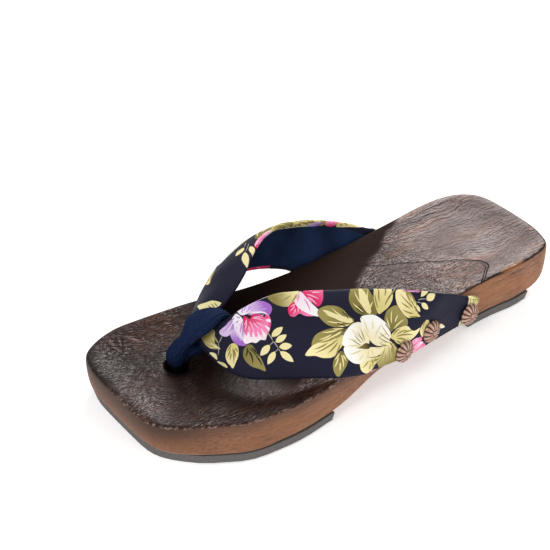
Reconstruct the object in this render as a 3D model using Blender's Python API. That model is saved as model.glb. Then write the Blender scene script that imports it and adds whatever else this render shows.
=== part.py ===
"""Left geta sandal, modelled in metres with +Z up.

The toe points to -Y. The outer side (little toe) is +X and the inner side (big toe) is -X.
A carved wooden base stands on two rubber soles. One padded cloth strap runs from the outer
side, through the toe loop, to the inner side, and tacks hold its ends to the base.
"""
import math

import bmesh
import bpy
from mathutils import Vector

MM = 0.001

# Driving dimensions of the base, in millimetres
LENGTH = 241.0
BALL_WIDTH = 99.0
HEEL_WIDTH = 70.2
RIM_TOE = 19.9
RIM_HEEL = 25.6
RIM_RADIUS = 1.8
EDGE_RADIUS = 1.0
DISH_DEPTH = 3.4
DISH_REACH = 17.0
ARCH_HEIGHT = 11.3
HEEL_LIFT = 13.0
FLARE = 3.2

# Rubber soles
SOLE_THICK = 4.6
SOLE_INSET = 0.5
SOLE_TOE_INSET = 2.2
SOLE_TOE_REACH = 25.0
HEEL_BEVEL = 2.4
GLUE_LINE = 0.1
# Ends of the soles as shares of LENGTH: the front sole's rear end, the heel sole's front and rear
SOLE_REAR = -0.1515
HEEL_FRONT = 0.2386
HEEL_REAR = 0.4149

# Strap, toe loop and tacks
STRAP_WALL = 2.4
STRAP_PEAK = 50.4
SEAT_GAP = 0.3
HOLE_DIAMETER = 13.0
LOOP_WIDTH = 12.5
LOOP_WALL = 3.8
TACK_DIAMETER = 11.4
TACK_HEIGHT = 3.0
TACK_PETALS = 12
# Thong hole: x as a share of BALL_WIDTH, y as a share of LENGTH
HOLE_SHARES = (-0.1111, -0.3444)

# Outline of the base from toe to heel: y as a share of LENGTH, then the distance from the
# middle line as shares of BALL_WIDTH and of HEEL_WIDTH, which are added
OUTER_SIDE = (
    (-0.484, 0.240, 0.0), (-0.462, 0.299, 0.0), (-0.427, 0.355, 0.0), (-0.383, 0.418, 0.0),
    (-0.345, 0.465, 0.0), (-0.292, 0.487, 0.0), (-0.238, 0.499, 0.0), (-0.175, 0.491, 0.0),
    (-0.105, 0.458, 0.015), (-0.030, 0.390, 0.050), (0.042, 0.270, 0.182), (0.130, 0.120, 0.333),
    (0.223, 0.0, 0.446), (0.304, 0.0, 0.428), (0.372, 0.0, 0.436), (0.425, 0.0, 0.414),
    (0.460, 0.0, 0.394), (0.482, 0.0, 0.340),
)
INNER_SIDE = (
    (-0.474, 0.420, 0.0), (-0.455, 0.450, 0.0), (-0.428, 0.478, 0.0), (-0.384, 0.499, 0.0),
    (-0.345, 0.491, 0.0), (-0.299, 0.479, 0.0), (-0.215, 0.448, 0.0), (-0.112, 0.384, 0.0),
    (-0.006, 0.290, 0.092), (0.060, 0.170, 0.268), (0.125, 0.080, 0.400), (0.200, 0.0, 0.532),
    (0.271, 0.0, 0.551), (0.345, 0.0, 0.575), (0.400, 0.0, 0.577), (0.438, 0.0, 0.552),
    (0.468, 0.0, 0.500), (0.484, 0.0, 0.440),
)
# Toe and heel edge, from the outer corner to the inner corner: y share, x share of the width there
TOE_EDGE = ((-0.494, 0.190), (-0.4995, 0.120), (-0.500, 0.020), (-0.499, -0.120),
            (-0.4965, -0.260), (-0.490, -0.340), (-0.483, -0.387))
HEEL_EDGE = ((0.492, 0.245), (0.499, 0.130), (0.500, 0.0), (0.4995, -0.150),
             (0.497, -0.290), (0.492, -0.380))

# Dish of the top: y share of LENGTH, depth as a share of DISH_DEPTH
DISH = ((-0.50, 0.55), (-0.42, 0.85), (-0.33, 1.0), (-0.20, 1.0), (-0.08, 0.70),
        (0.08, 0.50), (0.25, 0.55), (0.40, 0.50), (0.50, 0.30))
# Underside: y share of LENGTH, height above the soles as a share of the arch's rise
ARCH = ((-0.157, 0.0), (-0.140, 0.14), (-0.118, 0.36), (-0.088, 0.63), (-0.045, 0.90),
        (0.0, 1.0), (0.045, 1.0), (0.100, 0.96), (0.142, 0.72), (0.183, 0.50), (0.207, 0.34),
        (0.228, 0.12), (0.2386, 0.0))
# Heel underside behind its sole: y share of LENGTH, share of the lift at the back
HEEL_ROLL = ((0.418, 0.0), (0.437, 0.08), (0.462, 0.33), (0.482, 0.64), (0.500, 1.0))


# How far the side stands out at its foot: y share, then shares of FLARE outside and inside
SIDE_FLARE = ((-0.500, -0.35, -0.35), (-0.470, 0.0, -0.20), (-0.425, 0.50, 0.10), (-0.320, 0.55, 0.30),
              (-0.220, 0.10, 0.20), (-0.155, -0.25, 0.0), (-0.100, 0.0, 0.0), (0.440, 0.0, 0.0),
              (0.500, -0.20, -0.20))


def at(table, value, column=1):
    """Value of a table's column at a place, with straight lines between the rows."""
    if value <= table[0][0]:
        return table[0][column]
    for low, high in zip(table, table[1:]):
        if value <= high[0]:
            share = (value - low[0]) / (high[0] - low[0])
            return low[column] + share * (high[column] - low[column])
    return table[-1][column]


def smooth(value):
    value = min(1.0, max(0.0, value))
    return value * value * (3.0 - 2.0 * value)


def spline(points, count):
    """Catmull-Rom curve through points of any size, as count + 1 points evenly along it."""
    ends = [tuple(2 * a - b for a, b in zip(points[0], points[1]))]
    ends += list(points)
    ends.append(tuple(2 * a - b for a, b in zip(points[-1], points[-2])))
    fine = []
    steps = 12
    for index in range(1, len(ends) - 2):
        p0, p1, p2, p3 = ends[index - 1:index + 3]
        for step in range(steps):
            t = step / steps
            fine.append(tuple(
                0.5 * (2 * b + (c - a) * t + (2 * a - 5 * b + 4 * c - d) * t * t
                       + (3 * b - a - 3 * c + d) * t ** 3)
                for a, b, c, d in zip(p0, p1, p2, p3)))
    fine.append(tuple(points[-1]))
    travel = [0.0]
    for a, b in zip(fine, fine[1:]):
        travel.append(travel[-1] + math.dist(a[:3], b[:3]))
    result = []
    index = 0
    for number in range(count + 1):
        goal = travel[-1] * number / count
        while index < len(fine) - 2 and travel[index + 1] < goal:
            index += 1
        span = travel[index + 1] - travel[index]
        share = (goal - travel[index]) / span if span else 0.0
        result.append(tuple(a + share * (b - a) for a, b in zip(fine[index], fine[index + 1])))
    return result


def side_points(table, sign):
    return [(sign * (ball * BALL_WIDTH + heel * HEEL_WIDTH), y * LENGTH) for y, ball, heel in table]


def outline_curves():
    """The base's outline as four curves: outer side, heel, inner side, toe, end to end."""
    outer = side_points(OUTER_SIDE, 1)
    inner = side_points(INNER_SIDE, -1)
    toe = [(x * BALL_WIDTH, y * LENGTH) for y, x in TOE_EDGE]
    heel = [(x * HEEL_WIDTH, y * LENGTH) for y, x in HEEL_EDGE]
    toe = [outer[0]] + toe + [inner[0]]
    heel = [outer[-1]] + heel + [inner[-1]]
    return outer, heel, inner, toe


ROWS_LONG = 40
ROWS_WIDE = 14


def perimeter():
    """Closed outline: outer side toe to heel, heel edge, inner side back, toe edge back."""
    outer, heel, inner, toe = outline_curves()
    around = spline(outer, ROWS_LONG)[:-1]
    around += spline(heel, ROWS_WIDE)[:-1]
    around += spline(inner[::-1], ROWS_LONG)[:-1]
    around += spline(toe[::-1], ROWS_WIDE)[:-1]
    return around


def normals_of(around):
    """Outward normals of a closed outline."""
    count = len(around)
    result = []
    for index in range(count):
        before = around[index - 1]
        after = around[(index + 1) % count]
        tangent = Vector((after[0] - before[0], after[1] - before[1])).normalized()
        result.append((tangent.y, -tangent.x))
    middle = sum(n[0] * p[0] + n[1] * p[1] for n, p in zip(result, around))
    return result if middle > 0 else [(-x, -y) for x, y in result]


def inset_ring(distance):
    """Outline moved inwards: distance is a number, or a function of a point."""
    around = perimeter()
    ring = []
    for point, normal in zip(around, normals_of(around)):
        step = distance(point) if callable(distance) else distance
        ring.append((point[0] - normal[0] * step, point[1] - normal[1] * step))
    return ring


def flare(point):
    """How far the foot of the base's side stands out at a point of the outline."""
    return FLARE * at(SIDE_FLARE, point[1] / LENGTH, 1 if point[0] > 0 else 2)


def rim_height(y):
    return RIM_TOE + (RIM_HEEL - RIM_TOE) * (y / LENGTH + 0.5)


def under_height(y):
    share = y / LENGTH
    base = SOLE_THICK + GLUE_LINE
    if share < 0.3:
        return base + (ARCH_HEIGHT - base) * at(ARCH, share)
    return base + (HEEL_LIFT - base) * at(HEEL_ROLL, share)


def wall_place(side, y):
    """Distance of the base's side from the middle line at y, and its slope dx/dy."""
    table = OUTER_SIDE if side > 0 else INNER_SIDE
    points = spline([(py, abs(px)) for px, py in side_points(table, side)], 60)
    here = at(points, y)
    slope = (at(points, y + 1.0) - at(points, y - 1.0)) / 2.0
    return here, slope


def patch(ring):
    """Fills a closed ring with a grid of rows, blended from its four sides."""
    long, wide = ROWS_LONG, ROWS_WIDE
    outer = ring[0:long + 1]
    heel = ring[long:long + wide + 1]
    inner = ring[long + wide:2 * long + wide + 1][::-1]
    toe = (ring[2 * long + wide:] + ring[:1])[::-1]
    grid = []
    for i in range(long + 1):
        v = i / long
        row = []
        for j in range(wide + 1):
            u = j / wide
            point = []
            for k in (0, 1):
                sides = (1 - u) * outer[i][k] + u * inner[i][k]
                ends = (1 - v) * toe[j][k] + v * heel[j][k]
                corners = ((1 - v) * ((1 - u) * toe[0][k] + u * toe[wide][k])
                           + v * ((1 - u) * heel[0][k] + u * heel[wide][k]))
                point.append(sides + ends - corners)
            row.append(tuple(point))
        grid.append(row)
    return grid


def ring_places():
    """Grid places (row, column) of the ring's points, in the ring's order."""
    long, wide = ROWS_LONG, ROWS_WIDE
    places = [(i, 0) for i in range(long)]
    places += [(long, j) for j in range(wide)]
    places += [(i, wide) for i in range(long, 0, -1)]
    places += [(0, j) for j in range(wide, 0, -1)]
    return places


def top_height(x, y, u):
    """Height of the dished top. u runs 0 to 1 across the base."""
    width = abs(wall_place(1, y)[0]) + abs(wall_place(-1, y)[0])
    side = smooth(min(u, 1 - u) * width / DISH_REACH)
    end = smooth(min(y + LENGTH / 2, LENGTH / 2 - y) / DISH_REACH)
    return rim_height(y) - DISH_DEPTH * at(DISH, y / LENGTH) * side * end


def finish(name, mesh_data, material):
    """Puts a bmesh into the scene as one named, smooth object."""
    bmesh.ops.recalc_face_normals(mesh_data, faces=mesh_data.faces)
    mesh = bpy.data.meshes.new(name)
    mesh_data.to_mesh(mesh)
    mesh_data.free()
    thing = bpy.data.objects.new(name, mesh)
    bpy.context.scene.collection.objects.link(thing)
    mesh.materials.append(material)
    return thing


def material(name, colour, roughness, metallic=0.0):
    made = bpy.data.materials.new(name)
    made.use_nodes = True
    shader = made.node_tree.nodes["Principled BSDF"]
    shader.inputs["Base Color"].default_value = (*colour, 1.0)
    shader.inputs["Roughness"].default_value = roughness
    shader.inputs["Metallic"].default_value = metallic
    made.diffuse_color = (*colour, 1.0)
    return made


def hole_place():
    return HOLE_SHARES[0] * BALL_WIDTH, HOLE_SHARES[1] * LENGTH


def point3(x, y, z):
    return Vector((x * MM, y * MM, z * MM))


def wood_base():
    """Block of wood: dished top grid, rounded rim, upright side, arched underside grid."""
    data = bmesh.new()
    places = ring_places()
    top_grid = patch(inset_ring(RIM_RADIUS))
    under_grid = patch(inset_ring(lambda point: EDGE_RADIUS * 1.4 - flare(point)))
    top = []
    for row in top_grid:
        line = []
        for j, (x, y) in enumerate(row):
            line.append(data.verts.new(point3(x, y, top_height(x, y, j / ROWS_WIDE))))
        top.append(line)
    under = [[data.verts.new(point3(x, y, under_height(y))) for x, y in row] for row in under_grid]
    for grid, flip in ((top, False), (under, True)):
        for low, high in zip(grid, grid[1:]):
            for j in range(ROWS_WIDE):
                face = [low[j], low[j + 1], high[j + 1], high[j]]
                data.faces.new(face[::-1] if flip else face)
    # Side rings from the rim down: inset, share of the flare, then the height as a drop below the
    # rim or as a share of the side's rise above its lower edge
    side = ((RIM_RADIUS * 0.30, 0.0, RIM_RADIUS * 0.30, None), (0.0, 0.0, RIM_RADIUS, None),
            (0.0, 0.45, None, 0.5), (EDGE_RADIUS * 0.3, 1.0, None, 0.0))
    rings = [[top[i][j] for i, j in places]]
    for inset, spread, drop, share in side:
        ring = []
        for x, y in inset_ring(lambda point: inset - spread * flare(point)):
            rim = rim_height(y)
            low = under_height(y) + EDGE_RADIUS
            height = rim - drop if share is None else low + (rim - RIM_RADIUS - low) * share
            ring.append(data.verts.new(point3(x, y, height)))
        rings.append(ring)
    rings.append([under[i][j] for i, j in places])
    for upper, lower in zip(rings, rings[1:]):
        for index in range(len(upper)):
            after = (index + 1) % len(upper)
            data.faces.new([upper[index], upper[after], lower[after], lower[index]])
    base = finish("wood_base", data, material("scorched_wood", (0.105, 0.052, 0.030), 0.45))
    x, y = hole_place()
    bpy.ops.mesh.primitive_cylinder_add(vertices=24, radius=HOLE_DIAMETER / 2 * MM,
                                        depth=RIM_HEEL * 2 * MM, location=point3(x, y, RIM_HEEL / 2))
    hole = bpy.context.object
    hole.name = "hole_cutter"
    hide_cutter(hole)
    cut = base.modifiers.new("thong_hole", "BOOLEAN")
    cut.operation = "DIFFERENCE"
    cut.solver = "EXACT"
    cut.object = hole
    return base


def hide_cutter(thing):
    cutters = bpy.data.collections.get("cutters")
    if cutters is None:
        cutters = bpy.data.collections.new("cutters")
        bpy.context.scene.collection.children.link(cutters)
    for owner in list(thing.users_collection):
        owner.objects.unlink(thing)
    cutters.objects.link(thing)
    thing.hide_render = True
    thing.display_type = "WIRE"


def clipped(ring, low, high):
    """Part of a closed ring between two values of y, with new points on the cuts."""
    result = []
    count = len(ring)
    for index in range(count):
        a = ring[index]
        b = ring[(index + 1) % count]
        if low <= a[1] <= high:
            result.append(a)
        cuts = [cut for cut in (low, high) if (a[1] - cut) * (b[1] - cut) < 0]
        for cut in sorted(cuts, key=lambda c: abs(c - a[1])):
            share = (cut - a[1]) / (b[1] - a[1])
            result.append((a[0] + share * (b[0] - a[0]), cut))
    return result


def sole_plate(name, inset, low, high, bevel_low, bevel_high, look):
    """Flat rubber plate whose front and rear faces lean in towards the floor."""
    outline = clipped(inset_ring(inset), low, high)
    edge = 0.8
    middle = sum(p[0] for p in outline) / len(outline)
    width = max(p[0] for p in outline) - min(p[0] for p in outline)
    data = bmesh.new()
    rings = []
    for height, tuck in ((SOLE_THICK, 0.0), (edge, 0.8), (0.0, 1.0)):
        ring = []
        for x, y in outline:
            span = high - low
            share = (y - low) / span
            y_new = y + tuck * (bevel_low * (1 - share) - bevel_high * share)
            in_step = 1.6 * edge if height == 0.0 else 0.0
            x_new = middle + (x - middle) * (1 - 2 * in_step / width)
            ring.append(data.verts.new(point3(x_new, y_new, height)))
        rings.append(ring)
    for upper, lower in zip(rings, rings[1:]):
        for index in range(len(upper)):
            after = (index + 1) % len(upper)
            data.faces.new([upper[index], upper[after], lower[after], lower[index]])
    data.faces.new(rings[0])
    data.faces.new(rings[-1][::-1])
    return finish(name, data, look)


# Strap rows: upper edge y, x, z then lower edge y, x, z, as shares of LENGTH, BALL_WIDTH and
# STRAP_PEAK, then the crown as a share of the strap's width, and how far the row lies on the base's
# side (0 free in the air, 1 flat on the wood). The rows run from the toe loop to the rear end.
OUTER_STRAP = (
    (-0.2625, -0.026, 0.758, -0.3080, 0.005, 0.512, 0.08, 0.0),
    (-0.2375, -0.008, 0.829, -0.3000, 0.092, 0.468, 0.10, 0.0),
    (-0.2040, 0.010, 0.885, -0.2915, 0.173, 0.454, 0.12, 0.0),
    (-0.1630, 0.048, 0.946, -0.2730, 0.240, 0.450, 0.13, 0.0),
    (-0.1340, 0.109, 0.984, -0.2500, 0.282, 0.450, 0.14, 0.0),
    (-0.1030, 0.166, 0.998, -0.2240, 0.325, 0.450, 0.14, 0.0),
    (-0.0680, 0.212, 0.986, -0.1900, 0.378, 0.448, 0.13, 0.0),
    (-0.0280, 0.245, 0.954, -0.1560, 0.432, 0.445, 0.12, 0.1),
    (0.0130, 0.273, 0.903, -0.1220, 0.474, 0.435, 0.10, 0.3),
    (0.0570, 0.297, 0.835, -0.0860, 0.478, 0.392, 0.08, 0.6),
    (0.1000, 0.326, 0.768, -0.0420, 0.455, 0.345, 0.06, 0.9),
    (0.1420, 0.359, 0.694, 0.0050, 0.430, 0.285, 0.04, 1.0),
    (0.1850, 0.345, 0.580, 0.0700, 0.400, 0.235, 0.02, 1.0),
    (0.2190, 0.335, 0.480, 0.1450, 0.350, 0.190, 0.0, 1.0),
    (0.2440, 0.335, 0.430, 0.2000, 0.340, 0.172, 0.0, 1.0),
    (0.2600, 0.335, 0.372, 0.2290, 0.335, 0.185, 0.0, 1.0),
)
INNER_STRAP = (
    (-0.2500, -0.097, 0.766, -0.3125, -0.138, 0.526, 0.08, 0.0),
    (-0.2250, -0.112, 0.833, -0.3080, -0.194, 0.484, 0.10, 0.0),
    (-0.2000, -0.129, 0.893, -0.2875, -0.245, 0.476, 0.12, 0.0),
    (-0.1650, -0.176, 0.948, -0.2640, -0.285, 0.476, 0.13, 0.0),
    (-0.1300, -0.240, 0.990, -0.2400, -0.335, 0.476, 0.14, 0.0),
    (-0.0855, -0.315, 1.000, -0.2050, -0.400, 0.480, 0.13, 0.0),
    (-0.0500, -0.358, 0.990, -0.1700, -0.450, 0.495, 0.12, 0.0),
    (-0.0150, -0.388, 0.960, -0.1300, -0.464, 0.510, 0.11, 0.0),
    (0.0183, -0.406, 0.911, -0.0920, -0.444, 0.510, 0.09, 0.1),
    (0.0680, -0.420, 0.827, -0.0500, -0.425, 0.480, 0.07, 0.4),
    (0.1204, -0.432, 0.714, 0.0000, -0.395, 0.400, 0.05, 0.8),
    (0.1746, -0.425, 0.590, 0.0420, -0.375, 0.245, 0.03, 1.0),
    (0.2050, -0.405, 0.510, 0.0950, -0.375, 0.190, 0.01, 1.0),
    (0.2380, -0.390, 0.430, 0.1550, -0.385, 0.130, 0.0, 1.0),
    (0.2600, -0.390, 0.350, 0.2050, -0.390, 0.105, 0.0, 1.0),
    (0.2700, -0.390, 0.290, 0.2400, -0.390, 0.150, 0.0, 1.0),
)
# The strap's bend inside the toe loop, in the same columns
STRAP_BEND = (-0.2600, -0.062, 0.738, -0.3105, -0.068, 0.570, 0.08, 0.0)
STRAP_ROWS = 60
# Places across the strap and the share of its full thickness there: its edges are rounded
STRAP_ACROSS = ((0.0, 0.25), (0.012, 0.62), (0.035, 0.90), (0.10, 1.0), (0.22, 1.0), (0.36, 1.0),
                (0.50, 1.0), (0.64, 1.0), (0.78, 1.0), (0.90, 1.0), (0.965, 0.90), (0.988, 0.62),
                (1.0, 0.25))


def strap_centre(row, share):
    """Point of the strap's middle surface: share runs 0 at the upper edge to 1 at the lower."""
    uy, ux, uz, ly, lx, lz, crown, seated = row
    upper = Vector((ux * BALL_WIDTH, uy * LENGTH, uz * STRAP_PEAK))
    lower = Vector((lx * BALL_WIDTH, ly * LENGTH, lz * STRAP_PEAK))
    width = (lower - upper).length
    side = 1.0 if ux + lx > -2 * 0.06 else -1.0
    bulge = crown * width * 4 * share * (1 - share)
    outward = Vector((side * 0.62, -0.35, 0.70)).normalized()
    point = upper.lerp(lower, share) + outward * bulge
    return point, side


def seated_x(point, side):
    """Keeps a strap point clear of the base's side and rim."""
    here, slope = wall_place(side, point.y)
    clear = (SEAT_GAP + STRAP_WALL / 2) * math.sqrt(1 + slope * slope)
    rim = rim_height(point.y)
    over = max(0.0, point.z - (rim - RIM_RADIUS))
    limit = here + clear - 0.9 * over
    out = side * point.x
    if point.z < rim + 8.0:
        soft = 1.2
        gap = out - limit
        out = limit + 0.5 * (gap + math.sqrt(gap * gap + soft * soft))
    return side * out


def strap_surface(count=STRAP_ROWS):
    """Rows of middle-surface points, from the outer rear end to the inner rear end."""
    rows = list(OUTER_STRAP[::-1]) + [STRAP_BEND] + list(INNER_STRAP)
    scaled = [tuple(value * size for value, size in
                    zip(row, (LENGTH, BALL_WIDTH, STRAP_PEAK, LENGTH, BALL_WIDTH, STRAP_PEAK, 1, 1)))
              for row in rows]
    fine = spline(scaled, count)
    surface = []
    for row in fine:
        shares = tuple(value / size for value, size in
                       zip(row, (LENGTH, BALL_WIDTH, STRAP_PEAK, LENGTH, BALL_WIDTH, STRAP_PEAK, 1, 1)))
        line = []
        for share, _ in STRAP_ACROSS:
            point, side = strap_centre(shares, share)
            blend = smooth(shares[7] * 1.5)
            if point.z < rim_height(point.y) + 8.0 and blend > 0.0:
                point.x += blend * (seated_x(point, side) - point.x)
            line.append(point)
        surface.append(line)
    return surface


def surface_normals(surface):
    rows = len(surface)
    wide = len(surface[0])
    result = []
    for i in range(rows):
        line = []
        for j in range(wide):
            along = surface[min(i + 1, rows - 1)][j] - surface[max(i - 1, 0)][j]
            across = surface[i][min(j + 1, wide - 1)] - surface[i][max(j - 1, 0)]
            line.append(along.cross(across).normalized())
        result.append(line)
    return result


def strap():
    """The upper: both straps in one padded ribbon of even thickness."""
    surface = strap_surface()
    normals = surface_normals(surface)
    data = bmesh.new()
    loops = []
    last = len(surface) - 1
    for i, (line, normal_line) in enumerate(zip(surface, normals)):
        outer = []
        inner = []
        end = 0.6 if i in (0, last) else 1.0
        for (share, full), point, normal in zip(STRAP_ACROSS, line, normal_line):
            half = normal * (STRAP_WALL / 2 * full * end)
            outer.append(point + half)
            inner.append(point - half)
        loops.append([data.verts.new(p * MM) for p in outer + inner[::-1]])
    for low, high in zip(loops, loops[1:]):
        for index in range(len(low)):
            after = (index + 1) % len(low)
            data.faces.new([low[index], low[after], high[after], high[index]])
    data.faces.new(loops[0])
    data.faces.new(loops[-1][::-1])
    return finish("strap", data, material("navy_print_cloth", (0.030, 0.030, 0.055), 0.85))


# Toe loop's centre line from the hole's mouth: y as a share of the way to the strap's bend, x as a
# share of half LOOP_WIDTH, z as a share of the bend's height above the mouth, then shares of the
# loop's width and wall
LOOP_PATH = (
    (-0.128, -0.096, -0.555, 0.38, 1.15), (-0.128, -0.096, -0.151, 0.38, 1.15),
    (-0.167, -0.128, 0.141, 0.54, 1.35), (-0.039, 0.096, 0.464, 0.66, 1.25),
    (0.147, 0.352, 0.777, 0.8, 1.1), (0.334, 0.544, 1.020, 0.94, 1.0),
    (0.590, 0.672, 1.141, 1.0, 1.0), (0.836, 0.720, 1.222, 0.8, 1.0),
    (1.106, 0.800, 1.181, 0.44, 1.0), (1.288, 0.800, 1.000, 0.36, 1.0),
    (1.219, 0.800, 0.777, 0.4, 1.0), (0.934, 0.704, 0.535, 0.5, 1.05),
    (0.615, 0.576, 0.374, 0.54, 1.15), (0.265, 0.320, 0.212, 0.5, 1.2),
    (0.143, 0.096, -0.101, 0.38, 1.15), (0.143, 0.096, -0.555, 0.38, 1.15),
)


def toe_loop():
    """Cloth band swept up from the hole, over the strap's bend and back down beside itself."""
    hole_x, hole_y = hole_place()
    mouth = rim_height(hole_y) - DISH_DEPTH
    reach = STRAP_BEND[0] * LENGTH - hole_y
    rise = STRAP_BEND[2] * STRAP_PEAK - mouth
    rows = [(hole_x + x * LOOP_WIDTH / 2, hole_y + y * reach, mouth + z * rise, wide, thick)
            for y, x, z, wide, thick in LOOP_PATH]
    fine = spline(rows, 44)
    data = bmesh.new()
    loops = []
    for index, row in enumerate(fine):
        centre = Vector(row[:3])
        after = Vector(fine[min(index + 1, len(fine) - 1)][:3])
        before = Vector(fine[max(index - 1, 0)][:3])
        tangent = (after - before).normalized()
        wide_way = Vector((1.0, 0.0, 0.0))
        wide_way = (wide_way - tangent * wide_way.dot(tangent)).normalized()
        thick_way = tangent.cross(wide_way)
        loop = []
        for step in range(12):
            turn = 2 * math.pi * step / 12
            reach = (abs(math.cos(turn)) ** 0.7 * (1 if math.cos(turn) >= 0 else -1),
                     abs(math.sin(turn)) ** 0.7 * (1 if math.sin(turn) >= 0 else -1))
            point = (centre + wide_way * (reach[0] * row[3] * LOOP_WIDTH / 2)
                     + thick_way * (reach[1] * row[4] * LOOP_WALL / 2))
            loop.append(data.verts.new(point * MM))
        loops.append(loop)
    for low, high in zip(loops, loops[1:]):
        for index in range(len(low)):
            after = (index + 1) % len(low)
            data.faces.new([low[index], low[after], high[after], high[index]])
    data.faces.new(loops[0])
    data.faces.new(loops[-1][::-1])
    return finish("toe_loop", data, material("navy_crepe", (0.030, 0.045, 0.110), 0.95))


# Tacks on each side, from the toe end: y share of LENGTH, height share of RIM_HEEL
OUTER_TACKS = ((0.0250, 0.726), (0.1060, 0.756), (0.2240, 0.560))
INNER_TACKS = ((0.070, 0.620), (0.1375, 0.620), (0.2230, 0.560))
# Dome of a tack: radius share, height share
TACK_PROFILE = ((0.96, 0.0), (1.0, 0.16), (0.90, 0.50), (0.62, 0.84), (0.30, 0.94), (0.16, 1.0))


def tack(name, side, y, z, surface, look):
    """Fluted round head lying on the strap, square to the base's side."""
    slope = wall_place(side, y)[1]
    stretch = math.sqrt(1 + slope * slope)
    reach = TACK_DIAMETER / 2 + 1.0
    under = [side * p.x - slope * (p.y - y) for line in surface for p in line
             if side * p.x > 0 and math.hypot(p.y - y, p.z - z) < reach]
    seat = max(under) + (STRAP_WALL / 2 + SEAT_GAP) * stretch
    data = bmesh.new()
    rings = []
    count = TACK_PETALS * 2
    for share, rise in TACK_PROFILE:
        ring = []
        for step in range(count):
            turn = 2 * math.pi * step / count
            flute = 1.0 if step % 2 else 0.94
            reach = share * flute * TACK_DIAMETER / 2
            place = Vector((math.cos(turn) * reach, math.sin(turn) * reach, rise * TACK_HEIGHT))
            ring.append(data.verts.new(place * MM))
        rings.append(ring)
    for low, high in zip(rings, rings[1:]):
        for index in range(count):
            after = (index + 1) % count
            data.faces.new([low[index], low[after], high[after], high[index]])
    data.faces.new(rings[0])
    data.faces.new(rings[-1][::-1])
    head = finish(name, data, look)
    head.location = point3(side * seat, y, z)
    facing = Vector((side, -slope, 0.0)).normalized()
    head.rotation_euler = facing.to_track_quat("Z", "Y").to_euler()
    return head


def clear_scene():
    for thing in list(bpy.data.objects):
        bpy.data.objects.remove(thing, do_unlink=True)


def main():
    clear_scene()
    wood_base()
    rubber = material("dark_rubber", (0.100, 0.095, 0.092), 0.8)
    toe_end = -LENGTH / 2

    def front_inset(point):
        toe = smooth((toe_end + SOLE_TOE_REACH - point[1]) / (0.8 * SOLE_TOE_REACH))
        return SOLE_INSET + (SOLE_TOE_INSET - SOLE_INSET) * toe - flare(point)

    sole_plate("sole_front", front_inset, toe_end, SOLE_REAR * LENGTH, 0.0, 1.6, rubber)
    sole_plate("sole_heel", SOLE_INSET, HEEL_FRONT * LENGTH, HEEL_REAR * LENGTH, HEEL_BEVEL,
               HEEL_BEVEL, rubber)
    strap()
    toe_loop()
    surface = strap_surface(STRAP_ROWS * 4)
    brass = material("aged_brass", (0.30, 0.17, 0.12), 0.4, 0.8)
    for side, rows, word in ((1, OUTER_TACKS, "outer"), (-1, INNER_TACKS, "inner")):
        for number, (y, z) in enumerate(rows, 1):
            tack(f"tack_{word}_{number}", side, y * LENGTH, z * RIM_HEEL, surface, brass)


main()
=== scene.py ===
import math

import bmesh
import bpy
import numpy as np
from mathutils import Matrix, Vector, geometry, interpolate, kdtree
from mathutils.bvhtree import BVHTree


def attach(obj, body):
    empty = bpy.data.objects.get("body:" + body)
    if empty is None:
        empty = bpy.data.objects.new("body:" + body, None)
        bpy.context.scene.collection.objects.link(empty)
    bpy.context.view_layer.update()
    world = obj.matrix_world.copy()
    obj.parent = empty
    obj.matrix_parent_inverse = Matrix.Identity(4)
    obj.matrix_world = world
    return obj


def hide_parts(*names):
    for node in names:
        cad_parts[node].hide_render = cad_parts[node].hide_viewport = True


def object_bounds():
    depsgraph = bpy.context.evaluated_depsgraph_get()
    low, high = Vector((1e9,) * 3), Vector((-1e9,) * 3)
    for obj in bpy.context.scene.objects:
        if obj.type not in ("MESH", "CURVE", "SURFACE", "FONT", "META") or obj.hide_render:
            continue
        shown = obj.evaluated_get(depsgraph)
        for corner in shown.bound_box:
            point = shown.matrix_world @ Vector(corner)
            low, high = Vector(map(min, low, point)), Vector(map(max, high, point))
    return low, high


# Looks of the left geta sandal: scorched wood, rubber soles, floral strap, crepe toe loop and tacks.
# Metres, +Z up, toe to -Y, outer side to +X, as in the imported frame.

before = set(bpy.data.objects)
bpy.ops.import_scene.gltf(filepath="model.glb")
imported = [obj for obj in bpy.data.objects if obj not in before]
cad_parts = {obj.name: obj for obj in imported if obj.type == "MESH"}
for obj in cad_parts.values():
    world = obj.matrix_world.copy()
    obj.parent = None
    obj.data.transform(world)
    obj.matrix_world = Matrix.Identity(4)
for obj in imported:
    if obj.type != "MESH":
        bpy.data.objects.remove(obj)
cad_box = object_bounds()
MM = 0.001

# Camera as fitted to the photograph
CAMERA_PLACE = (0.5375, -0.4355, 0.5238)
CAMERA_TILT = math.radians(54.97)
CAMERA_TURN = math.radians(53.37)
CAMERA_ROLL = math.radians(0.20)
CAMERA_LENS = 117.1

# Sizes in millimetres, as in the part
LENGTH = 241.0
BALL_WIDTH = 99.0
HEEL_WIDTH = 70.2
RIM_TOE = 19.9
RIM_HEEL = 25.6
RIM_RADIUS = 1.8
DISH_DEPTH = 3.4
HOLE = (-0.1111 * BALL_WIDTH, -0.3444 * LENGTH, 0.0)
STRAP_PEAK = 50.4
STRAP_WALL = 2.4
SEAT_GAP = 0.3
EDGE_ROUND = 1.7
LOOP_WIDTH = 12.5
LOOP_WALL = 3.8
# Middle of the strap's bend
BEND_X = -0.06 * BALL_WIDTH

# Light of the surroundings and of the floor, and how far the floor lies below the sandal in metres
WORLD_GLOW = 0.46
FLOOR_GLOW = 0.42
FLOOR_GAP = 0.0002


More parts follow.
